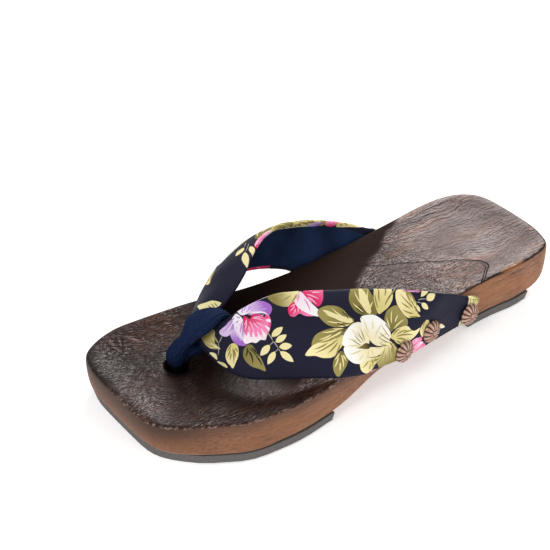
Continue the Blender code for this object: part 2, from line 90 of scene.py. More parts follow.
def camera():
    data = bpy.data.cameras.new("camera")
    data.lens = CAMERA_LENS
    data.sensor_width = 36.0
    data.clip_start = 0.05
    eye = bpy.data.objects.new("camera", data)
    turn = (Matrix.Rotation(CAMERA_TURN, 4, "Z") @ Matrix.Rotation(CAMERA_TILT, 4, "X")
            @ Matrix.Rotation(CAMERA_ROLL, 4, "Z"))
    eye.matrix_world = Matrix.Translation(CAMERA_PLACE) @ turn
    bpy.context.scene.collection.objects.link(eye)
    bpy.context.scene.camera = eye


def area_light(name, place, target, size, radiance, colour=(1.0, 1.0, 1.0)):
    """Square soft light aimed at a point. Its power follows from the radiance that it shows."""
    data = bpy.data.lights.new(name, "AREA")
    data.shape = "SQUARE"
    data.size = size
    data.energy = radiance * math.pi * size * size
    data.color = colour
    lamp = bpy.data.objects.new(name, data)
    lamp.location = place
    lamp.rotation_euler = (Vector(target) - Vector(place)).to_track_quat("-Z", "Y").to_euler()
    bpy.context.scene.collection.objects.link(lamp)


def studio():
    """Pale floor, bright surroundings, and soft lights behind for the sheen, in front and at the side."""
    scene = bpy.context.scene
    scene.view_settings.view_transform = "Standard"
    world = bpy.data.worlds.new("studio")
    world.use_nodes = True
    background = world.node_tree.nodes["Background"]
    background.inputs["Color"].default_value = (1.0, 1.0, 1.0, 1.0)
    background.inputs["Strength"].default_value = WORLD_GLOW
    scene.world = world
    data = bmesh.new()
    bmesh.ops.create_grid(data, x_segments=1, y_segments=1, size=6.0)
    mesh = bpy.data.meshes.new("floor")
    data.to_mesh(mesh)
    data.free()
    floor = bpy.data.objects.new("floor", mesh)
    floor.location.z = cad_box[0][2] - FLOOR_GAP
    scene.collection.objects.link(floor)
    paint = Paint("floor", (0.93, 0.93, 0.93), 0.9)
    paint.shader.inputs["Emission Color"].default_value = (1.0, 1.0, 1.0, 1.0)
    paint.shader.inputs["Emission Strength"].default_value = FLOOR_GLOW
    mesh.materials.append(paint.material)
    area_light("sheen", (-0.64, 0.70, 0.56), (0.0, 0.09, 0.02), 0.50, 11.0, (1.0, 0.95, 0.95))
    area_light("key", (0.35, -1.05, 1.05), (0.0, 0.0, 0.02), 0.55, 7.0)
    area_light("side", (1.2, 0.15, 0.7), (0.0, 0.0, 0.02), 0.5, 4.0)


class Paint:
    """A Principled material and short calls that add nodes to it."""

    def __init__(self, name, colour, roughness, metallic=0.0, specular=0.5):
        self.material = bpy.data.materials.new(name)
        self.material.use_nodes = True
        self.tree = self.material.node_tree
        self.shader = self.tree.nodes["Principled BSDF"]
        self.shader.inputs["Base Color"].default_value = (*colour, 1.0)
        self.shader.inputs["Roughness"].default_value = roughness
        self.shader.inputs["Metallic"].default_value = metallic
        self.shader.inputs["Specular IOR Level"].default_value = specular
        self.material.diffuse_color = (*colour, 1.0)

    def feed(self, target, value):
        if hasattr(value, "is_output"):
            self.tree.links.new(value, target)
        else:
            target.default_value = value

    def node(self, kind, feeds=(), **settings):
        """Adds a node. Feeds are pairs of an input and its value or its source."""
        made = self.tree.nodes.new(kind)
        for key, value in settings.items():
            setattr(made, key, value)
        for socket, value in dict(feeds).items():
            self.feed(made.inputs[socket], value)
        return made

    def wear(self, socket, source):
        """Links a node's output to the material's shader."""
        self.feed(self.shader.inputs[socket], source)

    def place(self, scale=(1.0, 1.0, 1.0), turn=(0.0, 0.0, 0.0)):
        """Object coordinates in millimetres, scaled and turned."""
        source = self.node("ShaderNodeTexCoord").outputs["Object"]
        feeds = {"Vector": source, "Scale": [1000.0 * s for s in scale], "Rotation": turn}
        return self.node("ShaderNodeMapping", feeds).outputs["Vector"]

    def noise(self, where, scale, detail=3.0, rough=0.55, twist=0.0):
        feeds = {"Vector": where, "Scale": scale, "Detail": detail, "Roughness": rough,
                 "Distortion": twist}
        return self.node("ShaderNodeTexNoise", feeds).outputs["Fac"]

    def ramp(self, value, *stops):
        """Colours or greys at places: stops are (place, colour or grey)."""
        made = self.node("ShaderNodeValToRGB", {"Fac": value})
        points = made.color_ramp.elements
        while len(points) < len(stops):
            points.new(0.5)
        for point, (spot, tone) in zip(points, stops):
            point.position = spot
            grey = not hasattr(tone, "__len__")
            point.color = (tone, tone, tone, 1.0) if grey else (*tone, 1.0)
        return made.outputs["Color"]

    def mix(self, share, first, second):
        """First colour where the share is 0, second where it is 1."""
        first, second = (t if hasattr(t, "is_output") else (*t, 1.0) for t in (first, second))
        feeds = {0: share, 6: first, 7: second}
        return self.node("ShaderNodeMix", feeds, data_type="RGBA").outputs[2]

    def math(self, how, *values):
        return self.node("ShaderNodeMath", enumerate(values), operation=how).outputs[0]

    def plus(self, first, second):
        return self.math("ADD", first, second)

    def times(self, first, *others):
        for other in others:
            first = self.math("MULTIPLY", first, other)
        return first

    def fused(self, value, factor, added):
        return self.math("MULTIPLY_ADD", value, factor, added)

    def rest(self, share):
        return self.math("SUBTRACT", 1.0, share)

    def away(self, value, centre):
        """How far a value is from a centre."""
        return self.math("ABSOLUTE", self.math("SUBTRACT", value, centre))

    def step(self, value, low, high):
        """0 to 1 as a value goes from low to high, smoothly. Low may be the larger one."""
        turned = low > high
        feeds = (value, min(low, high), max(low, high), float(turned), float(not turned))
        made = self.node("ShaderNodeMapRange", enumerate(feeds), interpolation_type="SMOOTHSTEP")
        return made.outputs[0]

    def vector(self, how, *values):
        return self.node("ShaderNodeVectorMath", enumerate(values), operation=how)

    def attribute(self, name, output="Fac"):
        return self.node("ShaderNodeAttribute", attribute_name=name).outputs[output]

    def bump(self, height, distance, strength=1.0, **below):
        """Relief of a height, in millimetres. Below is another relief under it, as Normal."""
        feeds = {"Distance": distance * MM, "Strength": strength, "Height": height, **below}
        return self.node("ShaderNodeBump", feeds).outputs["Normal"]


def add_object(name, mesh, material=None):
    thing = bpy.data.objects.new(name, mesh)
    bpy.context.scene.collection.objects.link(thing)
    if material is not None:
        mesh.materials.append(material)
    mesh.polygons.foreach_set("use_smooth", [True] * len(mesh.polygons))
    return thing


def rides(piece, slot_name, *nodes):
    if nodes:
        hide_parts(*nodes)
    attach(piece, "root")


# How the CAD mesh of the wood is refined: metres and radians
MERGE_DISTANCE = 0.00002
JOIN_ANGLE = 0.7
JOIN_SKEW = 1.2
SHARP_ANGLE = 0.9
SHARPNESS = 0.85


def refined_copy(name, node, levels):
    """Copy of a CAD node with its triangles joined to quads and then subdivided smoothly."""
    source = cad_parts[node]
    data = bmesh.new()
    data.from_mesh(source.data)
    bmesh.ops.remove_doubles(data, verts=data.verts, dist=MERGE_DISTANCE)
    bmesh.ops.join_triangles(data, faces=data.faces, angle_face_threshold=JOIN_ANGLE,
                             angle_shape_threshold=JOIN_SKEW)
    # Keeps corners, such as the lip of the hole, from being rounded away
    sharp = data.edges.layers.float.new("crease_edge")
    for edge in data.edges:
        if len(edge.link_faces) == 2 and edge.calc_face_angle() > SHARP_ANGLE:
            edge[sharp] = SHARPNESS
    mesh = bpy.data.meshes.new(name)
    data.to_mesh(mesh)
    data.free()
    thing = add_object(name, mesh)
    thing.matrix_world = source.matrix_world
    refine = thing.modifiers.new("refine", "SUBSURF")
    refine.levels = refine.render_levels = levels
    return bake_modifiers(thing)


def bake_modifiers(thing):
    """Applies an object's modifiers to its mesh."""
    seen = thing.evaluated_get(bpy.context.evaluated_depsgraph_get())
    mesh = bpy.data.meshes.new_from_object(seen)
    thing.modifiers.clear()
    old = thing.data
    thing.data = mesh
    bpy.data.meshes.remove(old)
    mesh.name = thing.name
    return thing


def vertex_values(mesh, what):
    flat = np.empty(len(mesh.vertices) * 3)
    mesh.vertices.foreach_get(what, flat)
    return flat.reshape(-1, 3)


def add_attribute(mesh, name, values):
    made = mesh.attributes.new(name, "FLOAT", "POINT")
    made.data.foreach_set("value", np.asarray(values, dtype=np.float32))


# What counts as the side and the top of the wood: how level it faces, and height in millimetres
SIDE_FACING = 0.45
SIDE_FOOT = 8.0
TOP_FACING = (0.35, 0.75)
TOP_FOOT = 12.0
CHAR_AND_SHADE = (0.004, 0.002, 0.002)


def wood_attributes(mesh):
    """Millimetres inwards from the rim on top, and below the rim on the side."""
    places = vertex_values(mesh, "co") / MM
    facing = vertex_values(mesh, "normal")
    side = (np.abs(facing[:, 2]) < SIDE_FACING) & (places[:, 2] > SIDE_FOOT)
    tree = kdtree.KDTree(int(side.sum()))
    for index in np.flatnonzero(side):
        tree.insert(Vector((places[index][0], places[index][1], 0.0)), int(index))
    tree.balance()
    inwards = np.array([tree.find(Vector((p[0], p[1], 0.0)))[2] for p in places])
    rim = np.interp(places[:, 1], (-LENGTH / 2, LENGTH / 2), (RIM_TOE, RIM_HEEL))
    top = (facing[:, 2] > 0.0) & (places[:, 2] > TOP_FOOT)
    add_attribute(mesh, "inwards", np.where(top, inwards, 0.0))
    add_attribute(mesh, "below", np.maximum(rim - places[:, 2], 0.0))
    add_attribute(mesh, "top", np.where(top, np.interp(facing[:, 2], TOP_FACING, (0.0, 1.0)), 0.0))


def wood_material():
    """Scorched, wire-brushed top with deep wavy creases; plain brown fibres on the side."""
    paint = Paint("scorched_wood", (0.03, 0.014, 0.01), 0.36, specular=0.30)
    paint.shader.inputs["Specular Tint"].default_value = (1.0, 0.86, 0.79, 1.0)
    noise, place, ramp = paint.noise, paint.place, paint.ramp
    plus, times, fused, step, away = paint.plus, paint.times, paint.fused, paint.step, paint.away
    plain = place()
    across, along, height = paint.node("ShaderNodeSeparateXYZ", {0: plain}).outputs
    top, inwards, below = (paint.attribute(name) for name in ("top", "inwards", "below"))
    # Coordinates bent by slow noises, so that the grain wanders
    slow = paint.node("ShaderNodeTexNoise", {"Vector": plain, "Scale": 0.022, "Detail": 1.0})
    bent = paint.vector("MULTIPLY_ADD", slow.outputs["Color"], (17.0, 8.0, 0.0), plain).outputs[0]
    sway = times(noise(place((0.5, 1.0, 1.0)), 0.11, 1.0), 5.5)
    sway = paint.node("ShaderNodeCombineXYZ", {"X": sway}).outputs[0]
    bent = paint.vector("ADD", bent, sway).outputs[0]

    def grain(stretch, *looks):
        """Noise along the bent grain, drawn out by a share."""
        return noise(paint.vector("MULTIPLY", bent, (1.0, stretch, 1.0)).outputs[0], *looks)

    def colour_patch(tone, share, amount, colour):
        return paint.mix(times(share, amount), tone, colour)

    # Cathedral figure on the heel: a soft V that points to the rear
    apart = paint.math("SUBTRACT", across, 17.0)
    flank = paint.math("SQRT", fused(apart, apart, 64.0))
    figure = plus(fused(flank, 1.8, -93.9), along)
    figure = plus(figure, fused(noise(plain, 0.09, 2.0), 7.0, -3.5))
    inside = times(step(figure, 1.0, -1.0), step(along, 24.0, 38.0))
    line = times(step(paint.math("ABSOLUTE", figure), 1.5, 0.3), step(along, 22.0, 34.0))
    smooth_heel = times(step(along, 42.0, 70.0), paint.rest(inside))
    # Creases: narrow valleys of a ridged noise, with finer ones between
    valley = step(away(grain(0.20, 0.50, 1.0, 0.5), 0.5), 0.0, 0.20)
    fine = step(away(grain(0.28, 0.90, 1.0, 0.5, 0.2), 0.5), 0.0, 0.22)
    relief = plus(times(valley, 0.6), times(fine, 0.4))
    amount = fused(smooth_heel, -0.62, 1.0)
    relief_top = fused(relief, amount, times(line, -1.6))
    relief_top = fused(grain(0.035, 0.55, 3.0, 0.6), 0.9, relief_top)
    # Colours of the top
    tone = ramp(grain(0.5, 0.032, 3.0, 0.6, 0.3), (0.38, (0.013, 0.006, 0.005)),
                (0.52, (0.042, 0.016, 0.010)), (0.66, (0.120, 0.043, 0.022)))
    heel_tone = ramp(grain(0.12, 0.16, 3.0, 0.6), (0.36, (0.042, 0.020, 0.015)),
                     (0.55, (0.085, 0.038, 0.027)), (0.70, (0.190, 0.080, 0.048)))
    tone = paint.mix(step(along, 5.0, 55.0), tone, heel_tone)
    tone = colour_patch(tone, inside, step(along, 42.0, 62.0), (0.185, 0.075, 0.045))
    tone = colour_patch(tone, paint.rest(relief), times(amount, 0.85), CHAR_AND_SHADE)
    tone = colour_patch(tone, line, 0.95, CHAR_AND_SHADE)
    # Burnt line just inside the outer rim of the heel, with one orange place
    ragged = plus(inwards, fused(noise(plain, 0.35, 3.0), 3.0, -1.5))
    outer_heel = times(step(along, 40.0, 60.0), step(across, 18.0, 26.0))
    tone = colour_patch(tone, step(ragged, 2.0, 0.4), times(outer_heel, 0.92), (0.006, 0.003, 0.002))
    glow = times(step(away(along, 88.0), 9.0, 4.0), step(ragged, 3.8, 1.8), step(across, 20.0, 25.0))
    tone = colour_patch(tone, glow, 0.75, (0.30, 0.11, 0.03))
    # Painted shade and painted reflection of the strap: darker, duller wood around the hole and under the
    # strap
    slant = fused(grain(0.5, 0.12, 3.0), 16.0, fused(across, 1.62, along))
    painted_strap_shade = times(step(slant, 18.5, 10.5), step(along, -64.0, -46.0))
    painted_toe_shade = times(step(along, -40.0, -56.0), step(along, -106.0, -82.0))
    painted_toe_shade = paint.math("MAXIMUM", times(painted_toe_shade, step(away(across, 9.0), 32.0, 18.0)), painted_strap_shade)
    tone = colour_patch(tone, painted_toe_shade, 0.85, (0.007, 0.003, 0.002))
    tone = colour_patch(tone, painted_strap_shade, 0.8, (0.013, 0.003, 0.001))
    # Colours of the side
    fibre = noise(place((1.0, 0.09, 1.9)), 0.8, 4.0, 0.65)
    fleck = noise(place((1.0, 0.22, 1.6)), 1.5, 2.0, 0.5)
    cloud = noise(place((0.5, 0.3, 1.0)), 0.06, 2.0)
    side_tone = ramp(fibre, (0.34, (0.105, 0.042, 0.022)), (0.48, (0.255, 0.115, 0.066)),
                     (0.66, (0.390, 0.200, 0.125)))
    side_tone = paint.mix(ramp(fleck, (0.34, 0.85), (0.44, 0.0)), side_tone, (0.075, 0.030, 0.018))
    side_tone = paint.mix(ramp(cloud, (0.42, 0.0), (0.62, 0.55)), side_tone, (0.360, 0.150, 0.058))
    upper = times(step(below, 7.5, 1.0), step(along, 40.0, -60.0))
    side_tone = colour_patch(side_tone, upper, 0.70, (0.085, 0.050, 0.040))
    side_tone = colour_patch(side_tone, step(along, 0.0, -100.0), 0.35, (0.130, 0.058, 0.036))
    front = times(step(along, -90.0, -116.0), step(below, 15.0, 3.0))
    side_tone = colour_patch(side_tone, front, 0.72, (0.035, 0.020, 0.016))
    # Painted highlight: a pale line along the foot of the side, just above the rubber
    side_tone = colour_patch(side_tone, step(height, 6.1, 5.5), 0.5, (0.46, 0.33, 0.27))
    tone = paint.mix(top, side_tone, tone)
    # Pale chips along the rim of the toe and of the outer ball
    rim = times(step(inwards, 1.3, 0.5), step(below, 1.5, 0.6))
    chip = ramp(noise(place((1.0, 0.6, 1.0)), 0.7, 4.0, 0.75), (0.50, 0.0), (0.62, 1.0))
    reach = times(step(along, 0.0, -30.0), step(across, -22.0, 8.0))
    tone = colour_patch(tone, times(rim, times(chip, reach)), 0.9, (0.33, 0.215, 0.18))
    # Painted shade in and around the thong hole, as black as charred wood
    from_hole = paint.vector("DISTANCE", place((1.0, 1.0, 0.0)), HOLE).outputs["Value"]
    paint.wear("Base Color", colour_patch(tone, step(from_hole, 12.0, 7.0), 0.9, CHAR_AND_SHADE))
    # Relief and gloss
    fibres = times(plus(fibre, times(fleck, 0.5)), paint.rest(top))
    flatter = times(top, fused(painted_toe_shade, -0.65, 1.0))
    top_bump = paint.bump(times(relief_top, flatter), 0.42, 0.85)
    paint.wear("Normal", paint.bump(fibres, 0.30, 0.7, Normal=top_bump))
    rough = ramp(grain(0.4, 0.07, 3.0), (0.35, 0.32), (0.65, 0.46))
    rough = paint.mix(painted_strap_shade, rough, (0.92, 0.92, 0.92))
    paint.wear("Roughness", paint.mix(top, (0.60, 0.60, 0.60), rough))
    return paint.material


def wood_base():
    piece = refined_copy("wood_body", "wood_base", 2)
    wood_attributes(piece.data)
    piece.data.materials.clear()
    piece.data.materials.append(wood_material())
    rides(piece, "scorched_wood", "wood_base")


def soles():
    paint = Paint("sole_rubber", (0.075, 0.070, 0.066), 0.75)
    fleck = paint.noise(paint.place(), 1.6, 3.0, 0.6)
    tone = paint.ramp(fleck, (0.3, (0.085, 0.077, 0.074)), (0.7, (0.150, 0.138, 0.132)))
    paint.wear("Base Color", tone)
    paint.wear("Normal", paint.bump(fleck, 0.12, 0.5))
    for node in ("sole_front", "sole_heel"):
        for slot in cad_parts[node].material_slots:
            slot.material = paint.material


# Strap rows as in the part: upper edge y, x, z then lower edge y, x, z, as shares of LENGTH,
# BALL_WIDTH and STRAP_PEAK, then the crown, and how far the row lies on the base's side
OUTER_STRAP = (
    (-0.2625, -0.026, 0.758, -0.3080, 0.005, 0.512, 0.08, 0.0),
    (-0.2375, -0.008, 0.829, -0.3000, 0.092, 0.468, 0.10, 0.0),
    (-0.2040, 0.010, 0.885, -0.2915, 0.173, 0.454, 0.12, 0.0),
    (-0.1630, 0.048, 0.946, -0.2730, 0.240, 0.450, 0.13, 0.0),
    (-0.1340, 0.109, 0.984, -0.2500, 0.282, 0.450, 0.14, 0.0),
    (-0.1030, 0.166, 0.998, -0.2240, 0.325, 0.450, 0.14, 0.0),
    (-0.0680, 0.212, 0.986, -0.1900, 0.378, 0.448, 0.13, 0.0),
    (-0.0280, 0.245, 0.954, -0.1560, 0.432, 0.445, 0.12, 0.1),
    (0.0130, 0.273, 0.903, -0.1220, 0.474, 0.435, 0.10, 0.3),
    (0.0570, 0.297, 0.835, -0.0860, 0.478, 0.392, 0.08, 0.6),
    (0.1000, 0.326, 0.768, -0.0420, 0.455, 0.345, 0.06, 0.9),
    (0.1420, 0.359, 0.694, 0.0050, 0.430, 0.285, 0.04, 1.0),
    (0.1850, 0.345, 0.580, 0.0700, 0.400, 0.235, 0.02, 1.0),
    (0.2190, 0.335, 0.480, 0.1450, 0.350, 0.190, 0.0, 1.0),
    (0.2440, 0.335, 0.430, 0.2000, 0.340, 0.172, 0.0, 1.0),
    (0.2600, 0.335, 0.372, 0.2290, 0.335, 0.185, 0.0, 1.0),
)
INNER_STRAP = (
    (-0.2500, -0.097, 0.766, -0.3125, -0.138, 0.526, 0.08, 0.0),
    (-0.2250, -0.112, 0.833, -0.3080, -0.194, 0.484, 0.10, 0.0),
    (-0.2000, -0.129, 0.893, -0.2875, -0.245, 0.476, 0.12, 0.0),
    (-0.1650, -0.176, 0.948, -0.2640, -0.285, 0.476, 0.13, 0.0),
    (-0.1300, -0.240, 0.990, -0.2400, -0.335, 0.476, 0.14, 0.0),
    (-0.0855, -0.315, 1.000, -0.2050, -0.400, 0.480, 0.13, 0.0),
    (-0.0500, -0.358, 0.990, -0.1700, -0.450, 0.495, 0.12, 0.0),
    (-0.0150, -0.388, 0.960, -0.1300, -0.464, 0.510, 0.11, 0.0),
    (0.0183, -0.406, 0.911, -0.0920, -0.444, 0.510, 0.09, 0.1),
    (0.0680, -0.420, 0.827, -0.0500, -0.425, 0.480, 0.07, 0.4),
    (0.1204, -0.432, 0.714, 0.0000, -0.395, 0.400, 0.05, 0.8),
    (0.1746, -0.425, 0.590, 0.0420, -0.375, 0.245, 0.03, 1.0),
    (0.2050, -0.405, 0.510, 0.0950, -0.375, 0.190, 0.01, 1.0),
    (0.2380, -0.390, 0.430, 0.1550, -0.385, 0.130, 0.0, 1.0),
    (0.2600, -0.390, 0.350, 0.2050, -0.390, 0.105, 0.0, 1.0),
    (0.2700, -0.390, 0.290, 0.2400, -0.390, 0.150, 0.0, 1.0),
)
STRAP_BEND = (-0.2600, -0.062, 0.738, -0.3105, -0.068, 0.570, 0.08, 0.0)
STRAP_SIZES = (LENGTH, BALL_WIDTH, STRAP_PEAK, LENGTH, BALL_WIDTH, STRAP_PEAK, 1.0, 1.0)
# The base's side from toe to heel, as in the part: y as a share of LENGTH, then the distance from the
# middle line as a share of BALL_WIDTH and one of HEEL_WIDTH, which add up
OUTER_SIDE = (
    (-0.484, 0.240, 0.0), (-0.462, 0.299, 0.0), (-0.427, 0.355, 0.0), (-0.383, 0.418, 0.0),
    (-0.345, 0.465, 0.0), (-0.292, 0.487, 0.0), (-0.238, 0.499, 0.0), (-0.175, 0.491, 0.0),
    (-0.105, 0.458, 0.015), (-0.030, 0.390, 0.050), (0.042, 0.270, 0.182), (0.130, 0.120, 0.333),
    (0.223, 0.0, 0.446), (0.304, 0.0, 0.428), (0.372, 0.0, 0.436), (0.425, 0.0, 0.414),
    (0.460, 0.0, 0.394), (0.482, 0.0, 0.340),
)
INNER_SIDE = (
    (-0.474, 0.420, 0.0), (-0.455, 0.450, 0.0), (-0.428, 0.478, 0.0), (-0.384, 0.499, 0.0),
    (-0.345, 0.491, 0.0), (-0.299, 0.479, 0.0), (-0.215, 0.448, 0.0), (-0.112, 0.384, 0.0),
    (-0.006, 0.290, 0.092), (0.060, 0.170, 0.268), (0.125, 0.080, 0.400), (0.200, 0.0, 0.532),
    (0.271, 0.0, 0.551), (0.345, 0.0, 0.575), (0.400, 0.0, 0.577), (0.438, 0.0, 0.552),
    (0.468, 0.0, 0.500), (0.484, 0.0, 0.440),
)
# Which way the strap's crown bulges, how the base's rim leans, how softly the strap meets the base,
# how far above the rim it can lie on the base's side, and how much of its thickness its ends keep
CROWN_WAY = (0.62, -0.35, 0.70)
RIM_LEAN = 0.9
SOFT_MEETING = 1.44
LYING_REACH = 8.0
END_THICKNESS = 0.15


def rim_height(y):
    return RIM_TOE + (RIM_HEEL - RIM_TOE) * (y / LENGTH + 0.5)


def catmull(p0, p1, p2, p3, t):
    """Place on a Catmull-Rom curve, between its second and third point."""
    return 0.5 * (2 * p1 + (p2 - p0) * t + (2 * p0 - 5 * p1 + 4 * p2 - p3) * t * t
                  + (3 * p1 - p0 - 3 * p2 + p3) * t ** 3)


def unit(vectors):
    return vectors / np.linalg.norm(vectors, axis=-1, keepdims=True)


def sampled(goals, places, rows):
    """Each column of some rows, interpolated at goals between the rows' places."""
    return np.column_stack([np.interp(goals, places, column) for column in rows.T])


def travelled(track):
    """Distance along a track of points, at each of them."""
    return np.append(0.0, np.cumsum(np.linalg.norm(np.diff(track, axis=0), axis=1)))


def spline(points, count):
    """Catmull-Rom curve through points: count + 1 points evenly along it, or points at given shares."""
    points = np.asarray(points, dtype=float)
    ends = np.vstack((2 * points[0] - points[1], points, 2 * points[-1] - points[-2]))
    fine = []
    for index in range(1, len(ends) - 2):
        p0, p1, p2, p3 = ends[index - 1:index + 3]
        for t in np.arange(12) / 12:
            fine.append(catmull(p0, p1, p2, p3, t))
    fine = np.array(fine + [points[-1]])
    travel = travelled(fine[:, :3])
    goals = np.linspace(0.0, travel[-1], count + 1) if np.isscalar(count) else travel[-1] * count
    return sampled(goals, travel, fine)


def side_curve(table):
    return spline([(y * LENGTH, ball * BALL_WIDTH + heel * HEEL_WIDTH) for y, ball, heel in table], 60)


def soft_step(value):
    value = np.clip(value, 0.0, 1.0)
    return value * value * (3.0 - 2.0 * value)


def strap_shares():
    """Places along the strap, closer together at its two rear ends."""
    ends = np.array((0.0, 0.0008, 0.002, 0.0035))
    return np.concatenate((ends, np.linspace(0.006, 0.994, 250), 1.0 - ends[::-1]))


def strap_middle(across):
    """The strap's middle surface as points [row, column] in millimetres, and each row's width."""
    rows = np.array(OUTER_STRAP[::-1] + (STRAP_BEND,) + INNER_STRAP) * STRAP_SIZES
    fine = spline(rows, strap_shares())
    upper = fine[:, (1, 0, 2)]
    lower = fine[:, (4, 3, 5)]
    width = np.linalg.norm(lower - upper, axis=1)
    side = np.where(fine[:, 1] + fine[:, 4] > 2 * BEND_X, 1.0, -1.0)
    bend = np.flatnonzero(np.diff(side))[:1]
    lean = 1.0 - 2.0 * soft_step(np.interp(np.arange(len(fine)), bend + (-6, 6), (0.0, 1.0)))
    outward = np.tile(CROWN_WAY, (len(fine), 1))
    outward[:, 0] *= lean
    outward = unit(outward)
    share = np.asarray(across)[None, :, None]
    bulge = (fine[:, 6] * width)[:, None, None] * 4 * share * (1 - share)
    points = upper[:, None] * (1 - share) + lower[:, None] * share + outward[:, None] * bulge
    curves = {1.0: side_curve(OUTER_SIDE), -1.0: side_curve(INNER_SIDE)}
    for index, row_side in enumerate(side):
        curve = curves[row_side]
        x, y, z = points[index].T
        here = np.interp(y, *curve.T)
        slope = (np.interp(y + 1, *curve.T) - np.interp(y - 1, *curve.T)) / 2
        rim = rim_height(y)
        limit = (here + (SEAT_GAP + STRAP_WALL / 2) * np.sqrt(1 + slope * slope)
                 - RIM_LEAN * np.maximum(0.0, z - (rim - RIM_RADIUS)))
        gap = row_side * x - limit
        pushed = row_side * (limit + 0.5 * (gap + np.sqrt(gap * gap + SOFT_MEETING)))
        blend = soft_step(fine[index, 7] * 1.5) * (z < rim + LYING_REACH)
        points[index, :, 0] += blend * (pushed - x)
    return points, width


def grid_normals(points):
    return unit(np.cross(np.gradient(points, axis=0), np.gradient(points, axis=1)))


def grid_mesh(name, points, closed=False):
    """Mesh of a grid of points in millimetres. Closed grids join their last column to the first."""
    rows, columns = points.shape[:2]
    index = np.arange(rows * columns).reshape(rows, columns)
    right = np.roll(index, -1, axis=1)
    faces = np.stack((index[:-1], right[:-1], right[1:], index[1:]), axis=-1)
    if not closed:
        faces = faces[:, :-1]
    mesh = bpy.data.meshes.new(name)
    mesh.from_pydata((points.reshape(-1, 3) * MM).tolist(), [], faces.reshape(-1, 4).tolist())
    mesh.update()
    return mesh


def edge_fullness(distance):
    """Share of full thickness at a distance in millimetres from the strap's edge."""
    share = np.clip(distance / EDGE_ROUND, 0.0, 1.0)
    return np.sqrt(np.maximum(0.0, 1.0 - (1.0 - share) ** 2))


def strap_face(columns, sign, thick=0.0):
    """One face of the strap at places across in millimetres from its edges, as a grid of points.

    A column is (share of the full width, extra millimetres)."""
    fine_shares = np.linspace(0.0, 1.0, 49)
    middle, width = strap_middle(fine_shares)
    normals = grid_normals(middle)
    travel = travelled(middle[:, len(fine_shares) // 2])
    from_end = np.minimum(travel, travel[-1] - travel)
    result = np.empty((len(middle), len(columns), 3))
    for index in range(len(middle)):
        spots = np.array([share * width[index] + extra for share, extra in columns])
        spots = np.clip(spots, 0.0, width[index])
        places = spots / width[index]
        full = edge_fullness(np.minimum(spots, width[index] - spots))
        full *= edge_fullness(from_end[index] + END_THICKNESS)
        base = sampled(places, fine_shares, middle[index])
        facing = sampled(places, fine_shares, normals[index])
        result[index] = base + sign * facing * (full * (STRAP_WALL / 2) + thick)[:, None]
    return result


def flat_pattern(skin, tip, end):
    """Lays the strap's skin out flat, in millimetres, with the bend's upper tip at the origin.

    Columns tip and end are the upper and lower edges. The outer arm runs to +u, the inner to -u."""
    around = np.linalg.norm(np.diff(skin, axis=1), axis=2)
    travel = np.concatenate((np.zeros((len(skin), 1)), np.cumsum(around, axis=1)), axis=1)
    travel -= travel[:, tip:tip + 1]
    upper, lower = skin[:, tip], skin[:, end]
    width = travel[:, end]
    bend = int(np.argmin(np.abs(upper[:, 0] + lower[:, 0] - 2 * BEND_X)))
    edges = np.zeros((len(skin), 2, 2))
    edges[bend] = ((0.0, 0.0), (0.0, -width[bend]))
    for step in (-1, 1):
        row = bend
        while 0 <= row + step < len(skin):
            after = row + step
            across = unit(lower[row] - upper[row])
            flat_across = (edges[row, 1] - edges[row, 0]) / width[row]
            flat_along = np.array((-flat_across[1], flat_across[0])) * -step
            moved = []
            for place, track in ((0, upper), (1, lower)):
                stride = track[after] - track[row]
                forward = stride @ across
                aside = math.sqrt(max(0.0, stride @ stride - forward * forward))
                moved.append(edges[row, place] + flat_across * forward + flat_along * aside)
            middle = (moved[0] + moved[1]) / 2
            spread = unit(moved[1] - moved[0])
            edges[after] = (middle - spread * width[after] / 2, middle + spread * width[after] / 2)
            row = after
    spread = (edges[:, 1] - edges[:, 0]) / width[:, None]
    return edges[:, :1] + spread[:, None] * travel[:, :, None]


EDGE_STEPS = ((0.0, 0.0), (0.0, 0.12), (0.0, 0.35), (0.0, 0.7), (0.0, 1.15), (0.0, 1.7))


def strap_skin():
    """The printed cloth's surface as a grid of points, and the columns of its two edges."""
    outer = EDGE_STEPS + tuple((share, 0.0) for share in np.linspace(0.06, 0.94, 30))
    outer += tuple((1.0 - share, -extra) for share, extra in EDGE_STEPS[::-1])
    upper_wrap = tuple((0.0, extra) for extra in (5.0, 4.0, 3.0, 2.3)) + EDGE_STEPS[:0:-1]
    lower_wrap = tuple((1.0, -extra) for _, extra in EDGE_STEPS[1:]) + ((1.0, -2.3), (1.0, -3.0))
    faces = (strap_face(upper_wrap, -1.0), strap_face(outer, 1.0), strap_face(lower_wrap, -1.0))
    return np.concatenate(faces, axis=1), len(upper_wrap), len(upper_wrap) + len(outer) - 1


GROUND = (31, 31, 50)
